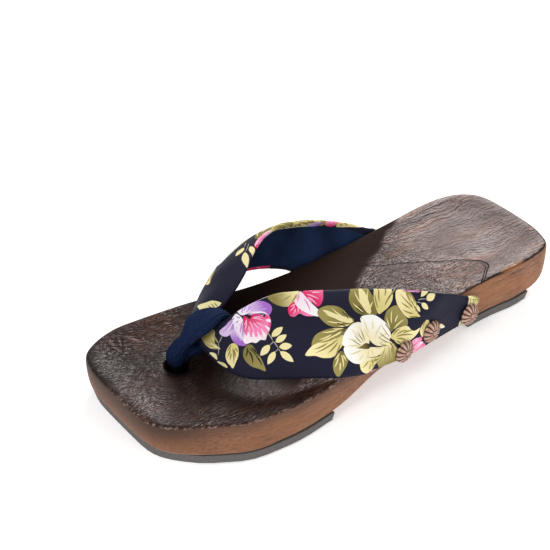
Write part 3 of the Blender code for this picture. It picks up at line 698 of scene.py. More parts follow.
# Print colours, as seen: root, tip and streaks of each kind of petal or leaf, and how many streaks
PRINT_STYLES = {
    "olive": ((124, 114, 58), (160, 148, 86), (240, 224, 160), 5),
    "shade": ((130, 120, 64), (158, 146, 84), (50, 44, 36), 4),
    "cream": ((222, 206, 134), (253, 238, 180), (146, 134, 72), 6),
    "turned": ((247, 232, 172), (142, 130, 70), (160, 147, 84), 6),
    "pale": ((243, 229, 168), (246, 233, 178), (243, 229, 168), 0),
    "purple": ((250, 240, 250), (170, 110, 205), (206, 165, 228), 9),
    "lilac": ((252, 246, 252), (226, 196, 236), (190, 140, 212), 7),
    "pink": ((226, 48, 106), (255, 142, 192), (255, 186, 214), 8),
    "blush": ((240, 90, 150), (255, 246, 248), (255, 190, 215), 8),
    "white": ((244, 232, 188), (255, 253, 248), (228, 214, 164), 6),
    "bloom": ((250, 222, 238), (255, 253, 254), (238, 150, 195), 3),
    "frost": ((255, 238, 247), (255, 238, 247), (255, 238, 247), 0),
    "mauve": ((150, 80, 125), (200, 120, 165), (220, 160, 195), 2),
    "dark": ((40, 34, 34), (40, 34, 34), (40, 34, 34), 0),
    "plain": (GROUND, GROUND, GROUND, 0),
    "heart": ((50, 44, 26), (128, 118, 62), (50, 44, 26), 0),
    "line": ((112, 102, 54), (112, 102, 54), (112, 102, 54), 0),
    "stem": ((176, 170, 160), (176, 170, 160), (176, 170, 160), 0),
}

# Printed shapes on the outer arm, laid flat in millimetres from the bend: style, then the outline
# from its root. Drawn back to front.
OUTER_PRINT = (
    ("cream", (4.6, -15.2), (2.2, -16.8), (0.8, -20), (1.2, -23.2), (2.6, -25.5), (3.6, -27.2), (5, -25),
     (6.6, -21.8), (7, -18.5), (6.4, -16.4)),
    ("shade", (11.5, -17.5), (9.2, -19.5), (8.7, -22.5), (9.8, -25.5), (12, -28), (15, -29.5), (17.7, -30.8),
     (17, -27), (15.8, -23.5), (14, -20), (13, -18)),
    ("turned", (-1.2, -16.4), (-4.5, -16), (-7.5, -14), (-9.6, -11), (-9.8, -9), (-7.5, -8), (-5, -7.3),
     (-2.8, -7.6), (-2.8, -10), (-3.4, -13), (-2.5, -15)),
    ("pale", (-3.5, -21.5), (-6, -19.8), (-7.4, -18.5), (-6, -17.3), (-4, -18), (-3.3, -19.5)),
    ("pale", (1.2, -26.2), (-1.5, -24.8), (-4, -22.8), (-3, -22.2), (0, -23.8)),
    ("pale", (-9.8, -21.8), (-8, -22), (-6.8, -24), (-8.5, -24.8)),
    ("pale", (-5.4, -25.4), (-4, -26), (-1.8, -28.4), (-3, -28.6)),
    ("lilac", (3.2, 0.3), (8, 4.5), (14, 9), (20, 12.5), (27, 13.5), (30, 13), (27.5, 8), (23.5, 5.2),
     (21, 4.5), (16, 3), (10, 1.5)),
    ("purple", (10.5, -2.8), (9, 0.5), (12, 2.4), (16, 3.6), (19.5, 3.4), (22.3, 2), (24.2, -0.5),
     (24, -3.2), (22.6, -5.2), (21.4, -5.6), (19.5, -3.2), (16, -2.2)),
    ("purple", (10, -4), (7.5, -2), (5.5, -4.5), (4.3, -8), (4.2, -12), (5.5, -15.2), (7.8, -17.3),
     (10.5, -17.8), (11, -15.5), (9.5, -12), (9.5, -8)),
    ("lilac", (8, -3), (5, -4.3), (2, -6.5), (-0.5, -8.3), (-0.3, -10), (1.5, -11.3), (3.5, -11.2),
     (5, -9.5), (6.5, -7)),
    ("lilac", (10.5, -4.5), (8, -1.2), (6.7, -4.5), (6.3, -8), (7, -11.5), (8.5, -14.5), (10.5, -16.3),
     (11.3, -15), (10.3, -11), (10.4, -7)),
    ("blush", (15.5, -7), (10.3, -13), (9.6, -15.8), (10.8, -17.2), (13, -16.8), (15, -17.6), (17, -16.4),
     (19.2, -16.9), (20.2, -14.8), (21.8, -12.3), (22.8, -9), (22.6, -6), (21, -4), (20, -8)),
    ("pink", (13, -4.5), (11.2, -3.4), (10.6, -7), (10.2, -10.5), (11, -13), (12.5, -14.2), (15, -14.7),
     (17.5, -14.2), (19.5, -12.6), (21, -10.8), (21.6, -8.3), (20.4, -6), (18, -4), (15.5, -3.3)),
    ("frost", (12.2, -11.6), (11.2, -14), (11, -16.6), (12.2, -16.4), (12.8, -14)),
    ("frost", (14.2, -12), (13.6, -14.6), (13.4, -16.8), (14.7, -17), (14.8, -14.4)),
    ("frost", (16.3, -12), (16.1, -14.4), (16.2, -16.4), (17.6, -16.2), (17, -14.2)),
    ("frost", (18, -11.2), (18.3, -13.6), (19, -16), (20, -15), (19, -13)),
    ("frost", (19.6, -9.8), (20.4, -11.6), (21.4, -13), (21.9, -11.8), (20.8, -10.6)),
    ("frost", (20.4, -7.4), (21.6, -8.6), (22.6, -9), (22.6, -7.2), (21.6, -7)),
    ("frost", (9.9, -3.6), (8, -6.6), (7.8, -10.6), (9.4, -14.6), (8.4, -10.6), (8.7, -6.8)),
    ("frost", (14, -2.6), (17, -2.2), (20.6, -3.2), (22.6, -6), (21, -4.2), (17.4, -3.2)),
    ("dark", (12.6, -3.6), (13.6, -5.6), (14.8, -4.2), (14, -3.3)),
    ("turned", (38, 5.5), (36, 1.5), (34.5, -1.2), (31, -2.2), (27.5, -1), (25, 1.2), (23.4, 4.5),
     (25, 7.5), (28, 11), (30.5, 13.4), (37, 13.4), (38.5, 9.5)),
    ("pink", (39.5, 4.5), (42, 7.5), (46, 13.2), (53, 13), (50.5, 9), (48.8, 4.5), (47.8, 0), (46, -3),
     (44.3, -3.6), (42.5, -1), (40.8, 1.5)),
    ("white", (38.5, 8), (37.5, 13.4), (46, 13.2), (43, 10), (40, 6.5)),
    ("pink", (36.5, -0.5), (34.3, -0.2), (32, -2), (31.2, -4.5), (31.8, -7), (33.7, -7.6), (36, -6.3),
     (38.5, -7.7), (42, -8), (41.5, -5.5)),
    ("bloom", (38.5, 5.5), (36.5, 2), (35, -0.5), (36.2, -3.5), (39.5, -6.5), (43, -8.3), (45, -8.3),
     (45.5, -6.8), (43.5, -3.5), (41.5, -0.5), (40, 3)),
    ("olive", (59.5, -13.8), (56.5, -14.6), (52, -14.6), (48, -13), (45.5, -10.5), (43.9, -7.5),
     (44.8, -5), (48.5, -3.6), (53, -4.2), (56, -6.3), (58, -9.5), (60.3, -11.8)),
    ("pale", (58.5, -13.2), (54, -11.8), (50, -9), (46.5, -5.8), (48.5, -6), (53, -8.5), (59.5, -11.4)),
    ("cream", (55, -18.5), (50, -18.8), (44, -19.8), (40, -21.2), (36, -25.4), (40.5, -26.2),
     (44, -27.6), (48.5, -27.8), (51, -25.5), (53.5, -23), (54.5, -20.5)),
    ("olive", (56.5, -15.5), (50, -14.6), (44.5, -15.5), (41, -17.5), (39.2, -21.3), (41, -20.9),
     (46, -19.5), (52, -18.5), (55, -18)),
    ("olive", (52.5, -25.5), (49.5, -27.8), (48.2, -31), (48.3, -34.5), (50, -37), (52.5, -34.8),
     (54.8, -31.5), (55.5, -28.5)),
    ("turned", (78, -20.5), (74, -24), (72, -27), (71.5, -30.5), (74, -33.3), (78, -34.8), (83, -34),
     (86, -31), (84, -26), (81, -23)),
    ("olive", (67, -10.2), (63.5, -9.2), (61, -7), (59.6, -2.5), (60.5, 2), (62.5, 5.5), (65.5, 10.5),
     (69, 11), (71, 7), (70.5, 3.5), (72.2, -1.5), (72.8, -6.5), (71.5, -10)),
    ("pale", (67.5, -9), (65, -4), (65, 1), (66, 4.5), (68, 2.5), (69, -2), (69.3, -8.5)),
    ("cream", (73, -9.3), (72, -5), (72.3, 0), (73.8, 5), (76, 7.5), (85, 10.5), (92, 10), (88, 6),
     (83, 3.6), (82.6, 0), (81.5, -3), (79, -6), (76, -8)),
    ("olive", (79.5, -17.3), (77, -15), (76, -12), (77.5, -8.3), (81, -5.8), (84, -5), (85.5, -7.5),
     (88.5, -9.8), (90.2, -11.8), (89.8, -14.3), (86, -14.6), (82, -15.8)),
    ("cream", (97.8, -9.7), (94, -10), (90.5, -10.6), (87, -8.5), (84.5, -5), (84, -1), (85, 2.5),
     (88, 3.5), (91, 2.5), (94, -0.5), (95.5, -4.5), (96, -8)),
    ("olive", (95.7, -7.5), (93, -5.5), (91, -2), (90, 1.5), (91, 2.9), (93.9, -0.3), (95.5, -4.5)),
    ("cream", (79.5, -19.5), (82.5, -16.5), (87, -14.6), (90.5, -14.4), (93, -16), (95.5, -16.3),
     (98.9, -14.8), (97.5, -18), (94, -20.5), (90.5, -22.5), (87, -22.8), (83, -21.5)),
    ("turned", (79.5, -21.5), (83, -23), (86.5, -25.5), (88, -29), (86.5, -31.5), (83.5, -28.5),
     (81, -24.5)),
    ("cream", (68, -28.5), (61.5, -30), (60.8, -33), (62, -35), (65, -35.6), (67.3, -34.5), (70, -32),
     (73, -30), (74.5, -27)),
    ("white", (66, -24.5), (61, -25), (56, -23.5), (53.8, -24.5), (54.5, -28), (57, -31), (60.5, -31.7),
     (64, -30.5), (69, -29), (73.5, -26.5), (75.5, -24), (71, -24.3)),
    ("white", (66, -23.5), (62, -24.6), (57, -24.3), (53.5, -23), (54, -19.5), (56, -16.3),
     (59.5, -13.6), (63, -13.2), (65.5, -15.5), (66.5, -19)),
    ("white", (68, -22.5), (64.5, -18), (63.5, -13), (63.8, -10.6), (67.5, -9.8), (71, -10),
     (74.5, -12), (77, -13.8), (79.3, -17), (79.5, -20), (77, -22.5), (72, -23.7)),
    ("heart", (67.2, -23.6), (64.5, -22.6), (62.5, -23.8), (61, -24.6), (63.5, -25.3), (66.5, -25)),
    ("pale", (-2, -30), (1, -31.5), (4, -34.5), (2, -34)),
    ("olive", (87, 5), (90, 7.5), (97, 9), (104, 8.6), (99, 6.5), (94, 5.5)),
    ("mauve", (88, 2.2), (92, 3.5), (95, 5.2), (100.5, 5.4), (97.5, 1.8), (93, 2.2)),
    ("cream", (102.5, -11), (100, -13.5), (99.2, -16), (100.8, -18.5), (103, -19.5), (106, -16),
     (105, -12.2)),
    ("white", (115, -13.6), (120.3, -15.5), (116.5, -16)),
    ("blush", (97, -25.8), (97.5, -23.5), (101, -22), (104.5, -22), (104, -25), (100, -28)),
    ("pink", (94, -21.5), (97, -20.5), (100.5, -19.3), (103, -20.8), (101, -22.3), (97, -23.4),
     (94.5, -23)),
    ("pink", (98, -27.6), (101.5, -24.8), (105, -22.5), (108, -24), (111, -25.6), (106, -28),
     (101.5, -29)),
    ("mauve", (65, -36), (69, -33.7), (74, -33.5), (76, -32.5), (73, -36), (69, -37.5)),
    ("turned", (134, 1), (133.2, -3), (134.5, -5.5), (141, -6), (144, 0.5), (143, 6), (137, 5)),
    ("white", (132, -13.2), (134.5, -14.5), (138, -16.5), (137, -19), (132.5, -18)),
)
# Pale sprig leaves on the outer arm: base, tip, width
OUTER_SPRIGS = (
    (22.2, -15.7, 27.7, -11.8, 3.1), (23.6, -18.4, 28.9, -15.5, 2.9), (24.9, -20.7, 30.7, -20.5, 3.2),
    (25.1, -22.6, 30.5, -27.9, 3.2), (22.9, -22.4, 18.9, -27.9, 3.0), (20.9, -19.3, 16.2, -23.6, 3.2),
    (98.2, -0.5, 104.6, 6.4, 2.8), (105.5, 4.0, 113.0, 7.7, 4.0), (101.2, -1.9, 106.0, 1.3, 3.6),
    (98.3, -3.5, 102.3, -6.1, 2.7), (95.5, -4.5, 97.5, -7.7, 1.7),
)
# Fine strokes on the outer arm: style, then start, end and width of each
OUTER_STROKES = (
    ("stem", (20.3, -13.3, 22.4, -17.6, 0.45), (22.4, -17.6, 24.6, -21.6, 0.45),
     (22.6, -18, 20.9, -19.3, 0.4), (24.6, -21.6, 25.2, -22.8, 0.4), (24.4, -21.3, 22.9, -22.6, 0.4),
     (22.2, -17, 22.2, -15.7, 0.4), (0.2, -10.8, -1.8, -13.8, 0.4), (-1.8, -13.8, -2.8, -19.5, 0.4),
     (96.5, -2, 101.4, -1.4, 0.45), (95.5, -3, 98.4, -3.6, 0.45)),
    ("dark", (52, -12.5, 57.2, -15.4, 0.55), (51.6, -14.2, 56.8, -16.1, 0.55),
     (53, -15.7, 56.2, -16.8, 0.5), (55.4, -7.2, 57.8, -10.6, 0.6), (56.8, -8.8, 57.6, -11.2, 0.6),
     (62, -5.8, 65.2, -9.6, 0.6), (63.4, -5.2, 66.2, -9.3, 0.6), (61, -8, 64.4, -11.8, 0.55),
     (60.4, -9.5, 63, -12.6, 0.5), (78.3, -20.3, 83.2, -21.4, 0.55), (78.8, -21, 84.4, -23.2, 0.55),
     (79, -21.8, 83.2, -25.2, 0.55), (76.2, -13.8, 79.6, -17.8, 0.5), (11.8, -19.4, 15.2, -25, 0.5),
     (10.8, -19.8, 12.4, -24.4, 0.4)),
    ("line", (62.5, -22.6, 59.4, -18.6, 0.4), (63.5, -22, 61.2, -17, 0.4),
     (64.3, -21.5, 63, -16.8, 0.4), (62, -23.6, 58, -20.8, 0.4), (79, -21, 72.2, -17.6, 0.45),
     (78.6, -22, 71.6, -19.8, 0.45), (78.6, -19.4, 74, -14.4, 0.4), (77.8, -23.4, 72.4, -22.4, 0.4),
     (74.6, -27.4, 64.8, -28.8, 0.4), (74, -28.4, 66.4, -30.6, 0.4), (73.6, -29.2, 68.2, -32.6, 0.4),
     (137, -0.6, 138.4, -2.6, 0.5), (138.6, 1.2, 141.2, 1.6, 0.5)),
)
# The same for the inner arm, where it shows beside the toe loop and at the upper and lower edges
INNER_PRINT = (
    ("olive", (-50, 7), (-54, 3), (-60, 0.5), (-66, 1), (-72, 5), (-78, 9), (-74, 13), (-64, 11)),
    ("cream", (-60, 9), (-66, 8), (-74, 9.5), (-84, 12), (-76, 13.8), (-66, 13)),
    ("cream", (-78, 8), (-84, 7), (-92, 8), (-98, 10.5), (-90, 12), (-82, 11.5)),
    ("olive", (-84, 5), (-92, 4), (-99, 6), (-104, 9.5), (-96, 9.5), (-88, 8)),
    ("pale", (-7.5, -1.5), (-8.8, -6), (-8.5, -10), (-9.3, -15.3), (-6, -13), (-3.9, -11), (-4.2, -7),
     (-5.5, -3.5)),
    ("pale", (-3.8, -14.8), (-2.4, -15.2), (-1.6, -16.6), (-3.4, -17.8), (-4.6, -16.2)),
    ("cream", (-13.8, 7.8), (-12.4, 7.4), (-9.4, 3.8), (-8.2, 0.8), (-10.8, 3.2)),
    ("white", (-56, 0), (-50, -1), (-45, -3), (-40, -6), (-36, -9), (-37, -12.5), (-42, -14),
     (-48, -12), (-54, -7)),
    ("turned", (-22, -11.5), (-28, -11), (-33, -11.5), (-36.5, -15), (-34, -19), (-28, -19.5),
     (-24, -15)),
    ("blush", (-52, 8), (-57, 8), (-61, 9.6), (-58, 12.5), (-52, 12)),
    ("pink", (-43, 8.4), (-46, 7.2), (-52, 7.3), (-54, 9), (-51, 11.5), (-46, 10.8)),
    ("cream", (-110, 5), (-116, 2.5), (-125, 2.5), (-124, 5), (-116, 8.2), (-112, 8)),
    ("pink", (-110, 5), (-111, 2), (-104, 1.8), (-101, 5.5), (-104, 8.6), (-111, 9)),
    ("purple", (-92, 9.5), (-97, 8), (-101, 8.4), (-100, 11), (-95, 11.8)),
    ("plain", (-69, -19), (-90, -19), (-90, -40), (-69, -40)),
    ("pink", (-57, -19), (-67, -19), (-70, -30), (-67, -40), (-57, -40)),
)
INNER_SPRIGS = (
    (-38.5, 4.6, -28.5, 8.0, 3.5), (-43.3, 5.6, -36.8, 10.4, 3.2), (-42.8, 2.4, -36.2, 0.4, 3.6),
    (-62.5, -9.0, -63.5, -14.5, 3.0), (-59.5, -10.5, -59.0, -18.5, 3.4), (-57.0, -9.0, -53.5, -14.0, 3.0),
)
INNER_STROKES = (
    ("stem", (-48, 1, -42.8, 2.3, 0.45), (-46, 3.6, -38.5, 4.7, 0.45), (-59.5, -4, -59.5, -10.5, 0.45),
     (-60, -6, -62.5, -9, 0.4), (-59.4, -6.5, -57, -9, 0.4)),
    ("dark", (-5.9, -3.2, -7.8, -4.8, 0.4), (-5.3, -4.4, -7.4, -6.4, 0.4), (-4.9, -5.8, -6.8, -8, 0.4)),
)
# The outer arm's flowers come again, mirrored, on the inner arm from this place to its rear end
INNER_REPEAT = -66.0


def linear(colour):
    """Linear colour of one given as seen, 0 to 255."""
    shares = np.asarray(colour, dtype=float) / 255
    return np.where(shares < 0.04045, shares / 12.92, ((shares + 0.055) / 1.055) ** 2.4)


def closed_curve(points, step=0.8):
    """Smooth closed outline through points."""
    points = np.asarray(points, dtype=float)
    count = len(points)
    result = []
    for index in range(count):
        p0, p1, p2, p3 = (points[(index + k) % count] for k in (-1, 0, 1, 2))
        steps = max(1, int(np.linalg.norm(p2 - p1) / step))
        for t in np.arange(steps) / steps:
            result.append(catmull(p0, p1, p2, p3, t))
    return np.array(result)


def pointed_leaf(base, tip, width):
    base, tip = np.array(base, dtype=float), np.array(tip, dtype=float)
    along = tip - base
    aside = unit(np.array((-along[1], along[0]))) * width / 2
    rows = [(base + along * t, aside * math.sin(math.pi * t ** 0.9) ** 0.8)
            for t in (0.14, 0.32, 0.52, 0.72, 0.88)]
    left = [spot + reach for spot, reach in rows]
    right = [spot - reach for spot, reach in rows[::-1]]
    return np.array([base] + left + [tip] + right)


def brush_stroke(start, stop, width):
    """Thin tapered stroke."""
    start, stop = np.array(start, dtype=float), np.array(stop, dtype=float)
    along = stop - start
    aside = np.array((-along[1], along[0])) / max(1e-6, np.linalg.norm(along)) * width / 2
    bow = aside / width * np.linalg.norm(along) * 0.10
    places = ((0.0, 0.45), (0.3, 1.0), (0.7, 0.8), (1.0, 0.15))
    left = [start + along * t + aside * w + bow * math.sin(math.pi * t) for t, w in places]
    right = [start + along * t - aside * w + bow * math.sin(math.pi * t) for t, w in places[::-1]]
    return np.array(left + right)


def painted(style, outline):
    """A shape and its streaks: outline, root, far point and two colours each."""
    root_tone, tip_tone, streak_tone, streaks = PRINT_STYLES[style]
    root = outline[0]
    reach = np.linalg.norm(outline - root, axis=1)
    far = outline[int(np.argmax(reach))]
    result = [(outline, root, far, linear(root_tone), linear(tip_tone))]
    for number in range(streaks):
        goal = outline[int(len(outline) * (0.16 + 0.68 * (number + 0.5) / streaks))]
        first = 0.22 + 0.12 * (number % 3)
        last = 0.80 + 0.06 * (number % 2)
        width = min(0.75, 0.045 * reach.max() + 0.18)
        stroke = brush_stroke(root + (goal - root) * first, root + (goal - root) * last, width)
        result.append((stroke, root, far, linear(streak_tone), linear(streak_tone)))
    return result


def print_shapes():
    """Everything that is printed, as (arm, shape) from back to front."""
    shapes = []
    for style, *points in OUTER_PRINT:
        for shape in painted(style, closed_curve(points)):
            shapes.append((1, shape))
            if points[0][0] > -INNER_REPEAT:
                outline, root, far, first, second = shape
                flip = np.array((-1.0, 1.0))
                shapes.append((-1, (outline * flip, root * flip, far * flip, first, second)))
    for style, *points in INNER_PRINT:
        shapes += [(-1, shape) for shape in painted(style, closed_curve(points))]
    for arm, sprigs, strokes in ((1, OUTER_SPRIGS, OUTER_STROKES), (-1, INNER_SPRIGS, INNER_STROKES)):
        marks = [("pale", pointed_leaf(row[:2], row[2:4], row[4])) for row in sprigs]
        marks += [(style, brush_stroke(row[:2], row[2:4], row[4]))
                  for style, *rows in strokes for row in rows]
        for style, outline in marks:
            shapes += [(arm, shape) for shape in painted(style, outline)]
    return shapes


def on_skin(points, origin, skin, flat, index):
    """Where flat points lie on the skin, and the skin's normals there.

    Origin lists the flat grid's own points that each point comes from, and index numbers that grid."""
    quads = np.stack((index[:-1, :-1], index[:-1, 1:], index[1:, 1:], index[1:, :-1]), -1).reshape(-1, 4)
    carrier = np.concatenate((quads[:, (0, 1, 2)], quads[:, (0, 2, 3)]))
    flat_points = [Vector((p[0], p[1], 0.0)) for p in flat.reshape(-1, 2)]
    tree = BVHTree.FromPolygons(flat_points, carrier.tolist())
    skin_points = skin.reshape(-1, 3)
    skin_normals = grid_normals(skin).reshape(-1, 3)
    solid = np.zeros((len(points), 3))
    facing = np.zeros((len(points), 3))
    for number, point in enumerate(points):
        own = [v for v in origin[number] if v < index.size]
        if own:
            solid[number], facing[number] = skin_points[own[0]], skin_normals[own[0]]
            continue
        spot = Vector((point[0], point[1], 0.0))
        _, _, face, _ = tree.find_nearest(spot)
        corners = carrier[face]
        weights = np.array(interpolate.poly_3d_calc([flat_points[c] for c in corners], spot))
        solid[number] = weights @ skin_points[corners]
        facing[number] = weights @ skin_normals[corners]
    return solid, facing / (np.linalg.norm(facing, axis=1)[:, None] + 1e-9)


CUT_TOLERANCE = 0.0002


def printed_mesh(skin, flat, turns):
    """Cuts the flat cloth along every printed shape, colours it and lays it on the skin."""
    rows, columns = flat.shape[:2]
    index = np.arange(rows * columns).reshape(rows, columns)
    border = np.concatenate((index[0, :-1], index[:-1, -1], index[-1, :0:-1], index[:0:-1, 0]))
    verts = [Vector(p) for p in flat.reshape(-1, 2)]
    faces = [border[::-1].tolist()]
    laid = []
    for arm, (outline, root, far, first, second) in print_shapes():
        turn = turns[arm]
        outline, root, far = (p @ turn for p in (outline, root, far))
        start = len(verts)
        x, y = outline.T
        if (x * np.roll(y, -1) - y * np.roll(x, -1)).sum() < 0:
            outline = outline[::-1]
        verts += [Vector(p) for p in outline]
        faces.append(list(range(start, len(verts))))
        laid.append((root, far, first, second))
    cut = geometry.delaunay_2d_cdt(verts, [], faces, 1, CUT_TOLERANCE)
    points, _, triangles, origin, _, sources = cut
    keep = [i for i, source in enumerate(sources) if 0 in source]
    solid, facing = on_skin(points, origin, skin, flat, index)
    mesh = bpy.data.meshes.new("strap_cloth")
    kept = [triangles[i] for i in keep]
    mesh.from_pydata((solid * MM).tolist(), [], kept)
    ground = linear(GROUND)
    colours = np.ones((len(mesh.loops), 4))
    flat_at = np.array([(p[0], p[1]) for p in points])
    for number, (i, triangle) in enumerate(zip(keep, kept)):
        top = max(sources[i])
        if top == 0:
            colours[3 * number:3 * number + 3, :3] = ground
            continue
        root, far, first, second = laid[top - 1]
        axis = far - root
        share = ((flat_at[list(triangle)] - root) @ axis) / (axis @ axis)
        share = soft_step(share * 1.15)[:, None]
        colours[3 * number:3 * number + 3, :3] = first * (1 - share) + second * share
    tone = mesh.color_attributes.new(name="print", type="FLOAT_COLOR", domain="CORNER")
    tone.data.foreach_set("color", colours.astype(np.float32).ravel())
    mesh.polygons.foreach_set("use_smooth", [True] * len(mesh.polygons))
    mesh.normals_split_custom_set_from_vertices(facing.tolist())
    return mesh


def cloth_material():
    paint = Paint("navy_print_cloth", (0.030, 0.030, 0.052), 0.60, specular=0.12)
    paint.wear("Base Color", paint.attribute("print", "Color"))
    paint.wear("Normal", paint.bump(paint.noise(paint.place(), 2.4, 2.0, 0.6), 0.05, 0.4))
    return paint.material


def strap_cloth():
    skin, tip, end = strap_skin()
    flat = flat_pattern(skin, tip, end)
    middle = (flat[:, tip] + flat[:, end]) / 2
    bend = int(np.argmin(np.linalg.norm(flat[:, tip], axis=1)))
    turns = {}
    for arm, row in ((1, 0), (-1, -1)):
        way = unit((middle[row] - middle[bend]) * arm)
        turns[arm] = np.array((way, (-way[1], way[0])))
    mesh = printed_mesh(skin, flat, turns)
    piece = add_object("strap_cloth", mesh, cloth_material())
    rides(piece, "navy_print_cloth", "strap")


def strap_lining():
    columns = ((0.0, 4.0), (0.0, 4.0), (0.0, 4.2), (0.0, 4.6))
    columns += tuple((share, (0.5 - share) * 10.0) for share in np.linspace(0.0, 1.0, 24))
    columns += ((1.0, -2.6), (1.0, -2.2), (1.0, -2.0), (1.0, -2.0))
    thick = np.array((-0.3, 0.0, 0.22, 0.30) + (0.30,) * 24 + (0.30, 0.22, 0.0, -0.3))
    mesh = grid_mesh("strap_lining", strap_face(columns, -1.0, thick)[1:-1])
    mesh.flip_normals()
    paint = Paint("navy_lining", (0.012, 0.024, 0.070), 0.85, specular=0.15)
    feeds = {"Vector": paint.place(turn=(0.0, 0.0, 0.6)), "Scale": 0.9, "Distortion": 1.0, "Detail": 2.0}
    twill = paint.node("ShaderNodeTexWave", feeds)
    shade = paint.noise(paint.place(), 0.05, 2.0)
    tone = paint.ramp(shade, (0.35, (0.007, 0.015, 0.045)), (0.62, (0.014, 0.030, 0.088)))
    paint.wear("Base Color", tone)
    paint.wear("Normal", paint.bump(twill.outputs["Fac"], 0.08, 0.5))
    piece = add_object("strap_lining", mesh, paint.material)
    rides(piece, "navy_print_cloth")


# Toe loop's centre line: reach towards the bend, half widths across, rise, width and thickness shares.
# It is the part's path, drawn tighter round the bend and with the rear strand behind the front one.
LOOP_PATH = (
    (0.020, -0.48, -0.555, 0.40, 1.15), (0.020, -0.48, -0.151, 0.40, 1.15),
    (0.000, -0.44, 0.141, 0.52, 1.35), (0.080, -0.12, 0.440, 0.56, 1.30),
    (0.210, 0.240, 0.700, 0.60, 1.15), (0.350, 0.480, 0.975, 0.96, 1.15),
    (0.560, 0.650, 1.120, 1.04, 1.15), (0.780, 0.720, 1.190, 0.85, 1.05),
    (1.010, 0.780, 1.150, 0.50, 1.0), (1.170, 0.800, 0.990, 0.38, 1.0),
    (1.130, 0.780, 0.777, 0.4, 1.0), (0.900, 0.640, 0.560, 0.5, 1.05),
    (0.600, 0.300, 0.400, 0.52, 1.15), (0.320, -0.300, 0.200, 0.44, 1.2),
    (0.230, -0.52, -0.101, 0.32, 1.0), (0.230, -0.52, -0.555, 0.32, 1.0),
)


def toe_loop():
    """Crepe band with lengthwise creases and folds across, swept along its path."""
    hole_x, hole_y, _ = HOLE
    mouth = rim_height(hole_y) - DISH_DEPTH
    reach = STRAP_BEND[0] * LENGTH - hole_y
    rise = STRAP_BEND[2] * STRAP_PEAK - mouth
    rows = [(hole_x + x * LOOP_WIDTH / 2, hole_y + y * reach, mouth + z * rise, wide, thick)
            for y, x, z, wide, thick in LOOP_PATH]
    fine = spline(rows, 220)
    # Both ends swell where they are pushed into the hole
    plump = soft_step((0.62 - (fine[:, 2] - mouth) / rise) / 0.5)
    fine[:, 3] *= 1.0 + 0.20 * plump
    fine[:, 4] *= 1.0 + 0.32 * plump
    centre = fine[:, :3]
    tangent = unit(np.gradient(centre, axis=0))
    wide_way = unit(np.array((1.0, 0.0, 0.0)) - tangent * tangent[:, :1])
    thick_way = np.cross(tangent, wide_way)
    turn = np.linspace(0.0, 2 * math.pi, 96, endpoint=False)
    reach = [np.abs(f(turn)) ** 0.7 * np.sign(f(turn)) for f in (np.cos, np.sin)]
    travel = np.linspace(0.0, 1.0, len(fine))[:, None]
    crease = (np.sin(7 * turn + 9 * travel) + 0.9 * np.sin(11 * turn - 14 * travel + 1.0)
              + 0.5 * np.sin(17 * turn + 21 * travel + 2.0))
    folds = (np.sin(62 * travel + 3.0 * np.sin(turn + 1.0))
             + 0.8 * np.sin(97 * travel - 2.0 * np.cos(2 * turn)))
    swell = 1.0 + 0.050 * crease + 0.026 * folds
    wide = (swell * reach[0] * fine[:, 3:4] * LOOP_WIDTH / 2)[:, :, None]
    thick = (swell * reach[1] * fine[:, 4:5] * LOOP_WALL / 2)[:, :, None]
    points = centre[:, None] + wide_way[:, None] * wide + thick_way[:, None] * thick
    mesh = grid_mesh("toe_loop_cloth", points, closed=True)
    paint = Paint("navy_crepe", (0.018, 0.026, 0.075), 0.9, specular=0.1)
    grain = paint.noise(paint.place(), 1.5, 3.0, 0.7)
    tone = paint.ramp(grain, (0.3, (0.003, 0.008, 0.030)), (0.7, (0.018, 0.035, 0.104)))
    # Painted shade: the loop turns black below the hole's mouth, where it goes down into the hole
    height = paint.node("ShaderNodeSeparateXYZ", {0: paint.place()}).outputs["Z"]
    shaded = paint.step(height, mouth + 0.8, mouth - 1.6)
    paint.wear("Base Color", paint.mix(shaded, tone, (0.001, 0.001, 0.003)))
    paint.wear("Normal", paint.bump(grain, 0.8))
    piece = add_object("toe_loop_cloth", mesh, paint.material)
    rides(piece, "navy_crepe", "toe_loop")


TACK_RADIUS = 5.7
TACK_HEIGHT = 3.0
TACK_PETALS = 13
TACK_BUTTON = 0.24


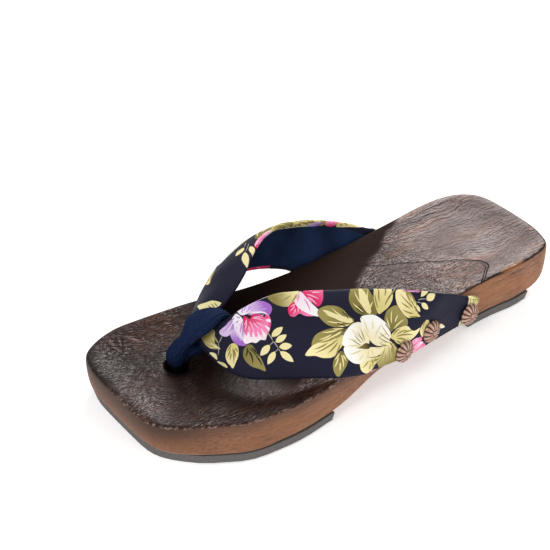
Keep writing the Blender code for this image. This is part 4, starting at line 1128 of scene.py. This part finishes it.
def tack_mesh():
    """Daisy head: a ring of rounded petals around a button, in millimetres, facing +Z."""
    turn = np.linspace(0.0, 2 * math.pi, TACK_PETALS * 12, endpoint=False)
    lobe = np.abs(np.cos(turn * TACK_PETALS / 2)) ** 0.6
    # Shares of the radius and of the height, from the middle of the button to the rim
    shares = np.array((0.0, 0.08, 0.16, 0.205, 0.235, 0.26, 0.30, 0.36, 0.45, 0.55, 0.65, 0.75, 0.83,
                       0.90, 0.95, 0.98, 1.0, 0.99, 0.96))
    dome = np.array((1.0, 0.99, 0.95, 0.88, 0.80, 0.80, 0.86, 0.90, 0.90, 0.87, 0.82, 0.74, 0.64, 0.52,
                     0.40, 0.28, 0.14, 0.04, 0.0))
    inside = soft_step((shares - TACK_BUTTON) / 0.1)[:, None]
    reach = shares[:, None] * (1.0 - 0.055 * (1.0 - lobe) * soft_step((shares[:, None] - 0.5) / 0.4))
    height = dome[:, None] - 0.16 * (1.0 - lobe) * inside * (dome[:, None] > 0.1)
    points = np.stack((np.cos(turn) * reach * TACK_RADIUS, np.sin(turn) * reach * TACK_RADIUS,
                       height * TACK_HEIGHT), axis=-1)
    mesh = grid_mesh("tack", points[::-1], closed=True)
    ring = np.exp(-((shares[:, None] - TACK_BUTTON) / 0.035) ** 2)
    groove = np.clip((1.0 - lobe) * 1.9 * inside + ring, 0.0, 1.0)
    add_attribute(mesh, "groove", groove[::-1].reshape(-1))
    return mesh


def tacks():
    paint = Paint("aged_brass", (0.45, 0.28, 0.21), 0.42, 0.5)
    colour_patch = paint.noise(paint.place(), 0.45, 2.0, 0.5)
    tone = paint.ramp(colour_patch, (0.3, (0.46, 0.25, 0.18)), (0.7, (0.74, 0.48, 0.38)))
    paint.wear("Base Color", paint.mix(paint.attribute("groove"), tone, (0.050, 0.024, 0.016)))
    for side, word in ((1.0, "outer"), (-1.0, "inner")):
        for number in (1, 2, 3):
            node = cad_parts[f"tack_{word}_{number}"]
            places = vertex_values(node.data, "co") @ np.array(node.matrix_world.to_3x3()).T
            places += np.array(node.matrix_world.translation)
            # The CAD head is flat, so it faces the way in which it spreads least
            middle = places.mean(axis=0)
            facing = np.linalg.svd(places - middle)[2][2]
            facing *= side * np.sign(facing[0])
            low = ((places - middle) @ facing).min()
            piece = add_object(f"tack_head_{word}_{number}", tack_mesh(), paint.material)
            piece.rotation_euler = Vector(facing).to_track_quat("Z", "Y").to_euler()
            piece.location = Vector(middle + facing * low)
            rides(piece, "aged_brass", node.name)


def main():
    camera()
    studio()
    wood_base()
    soles()
    strap_cloth()
    strap_lining()
    toe_loop()
    tacks()


main()
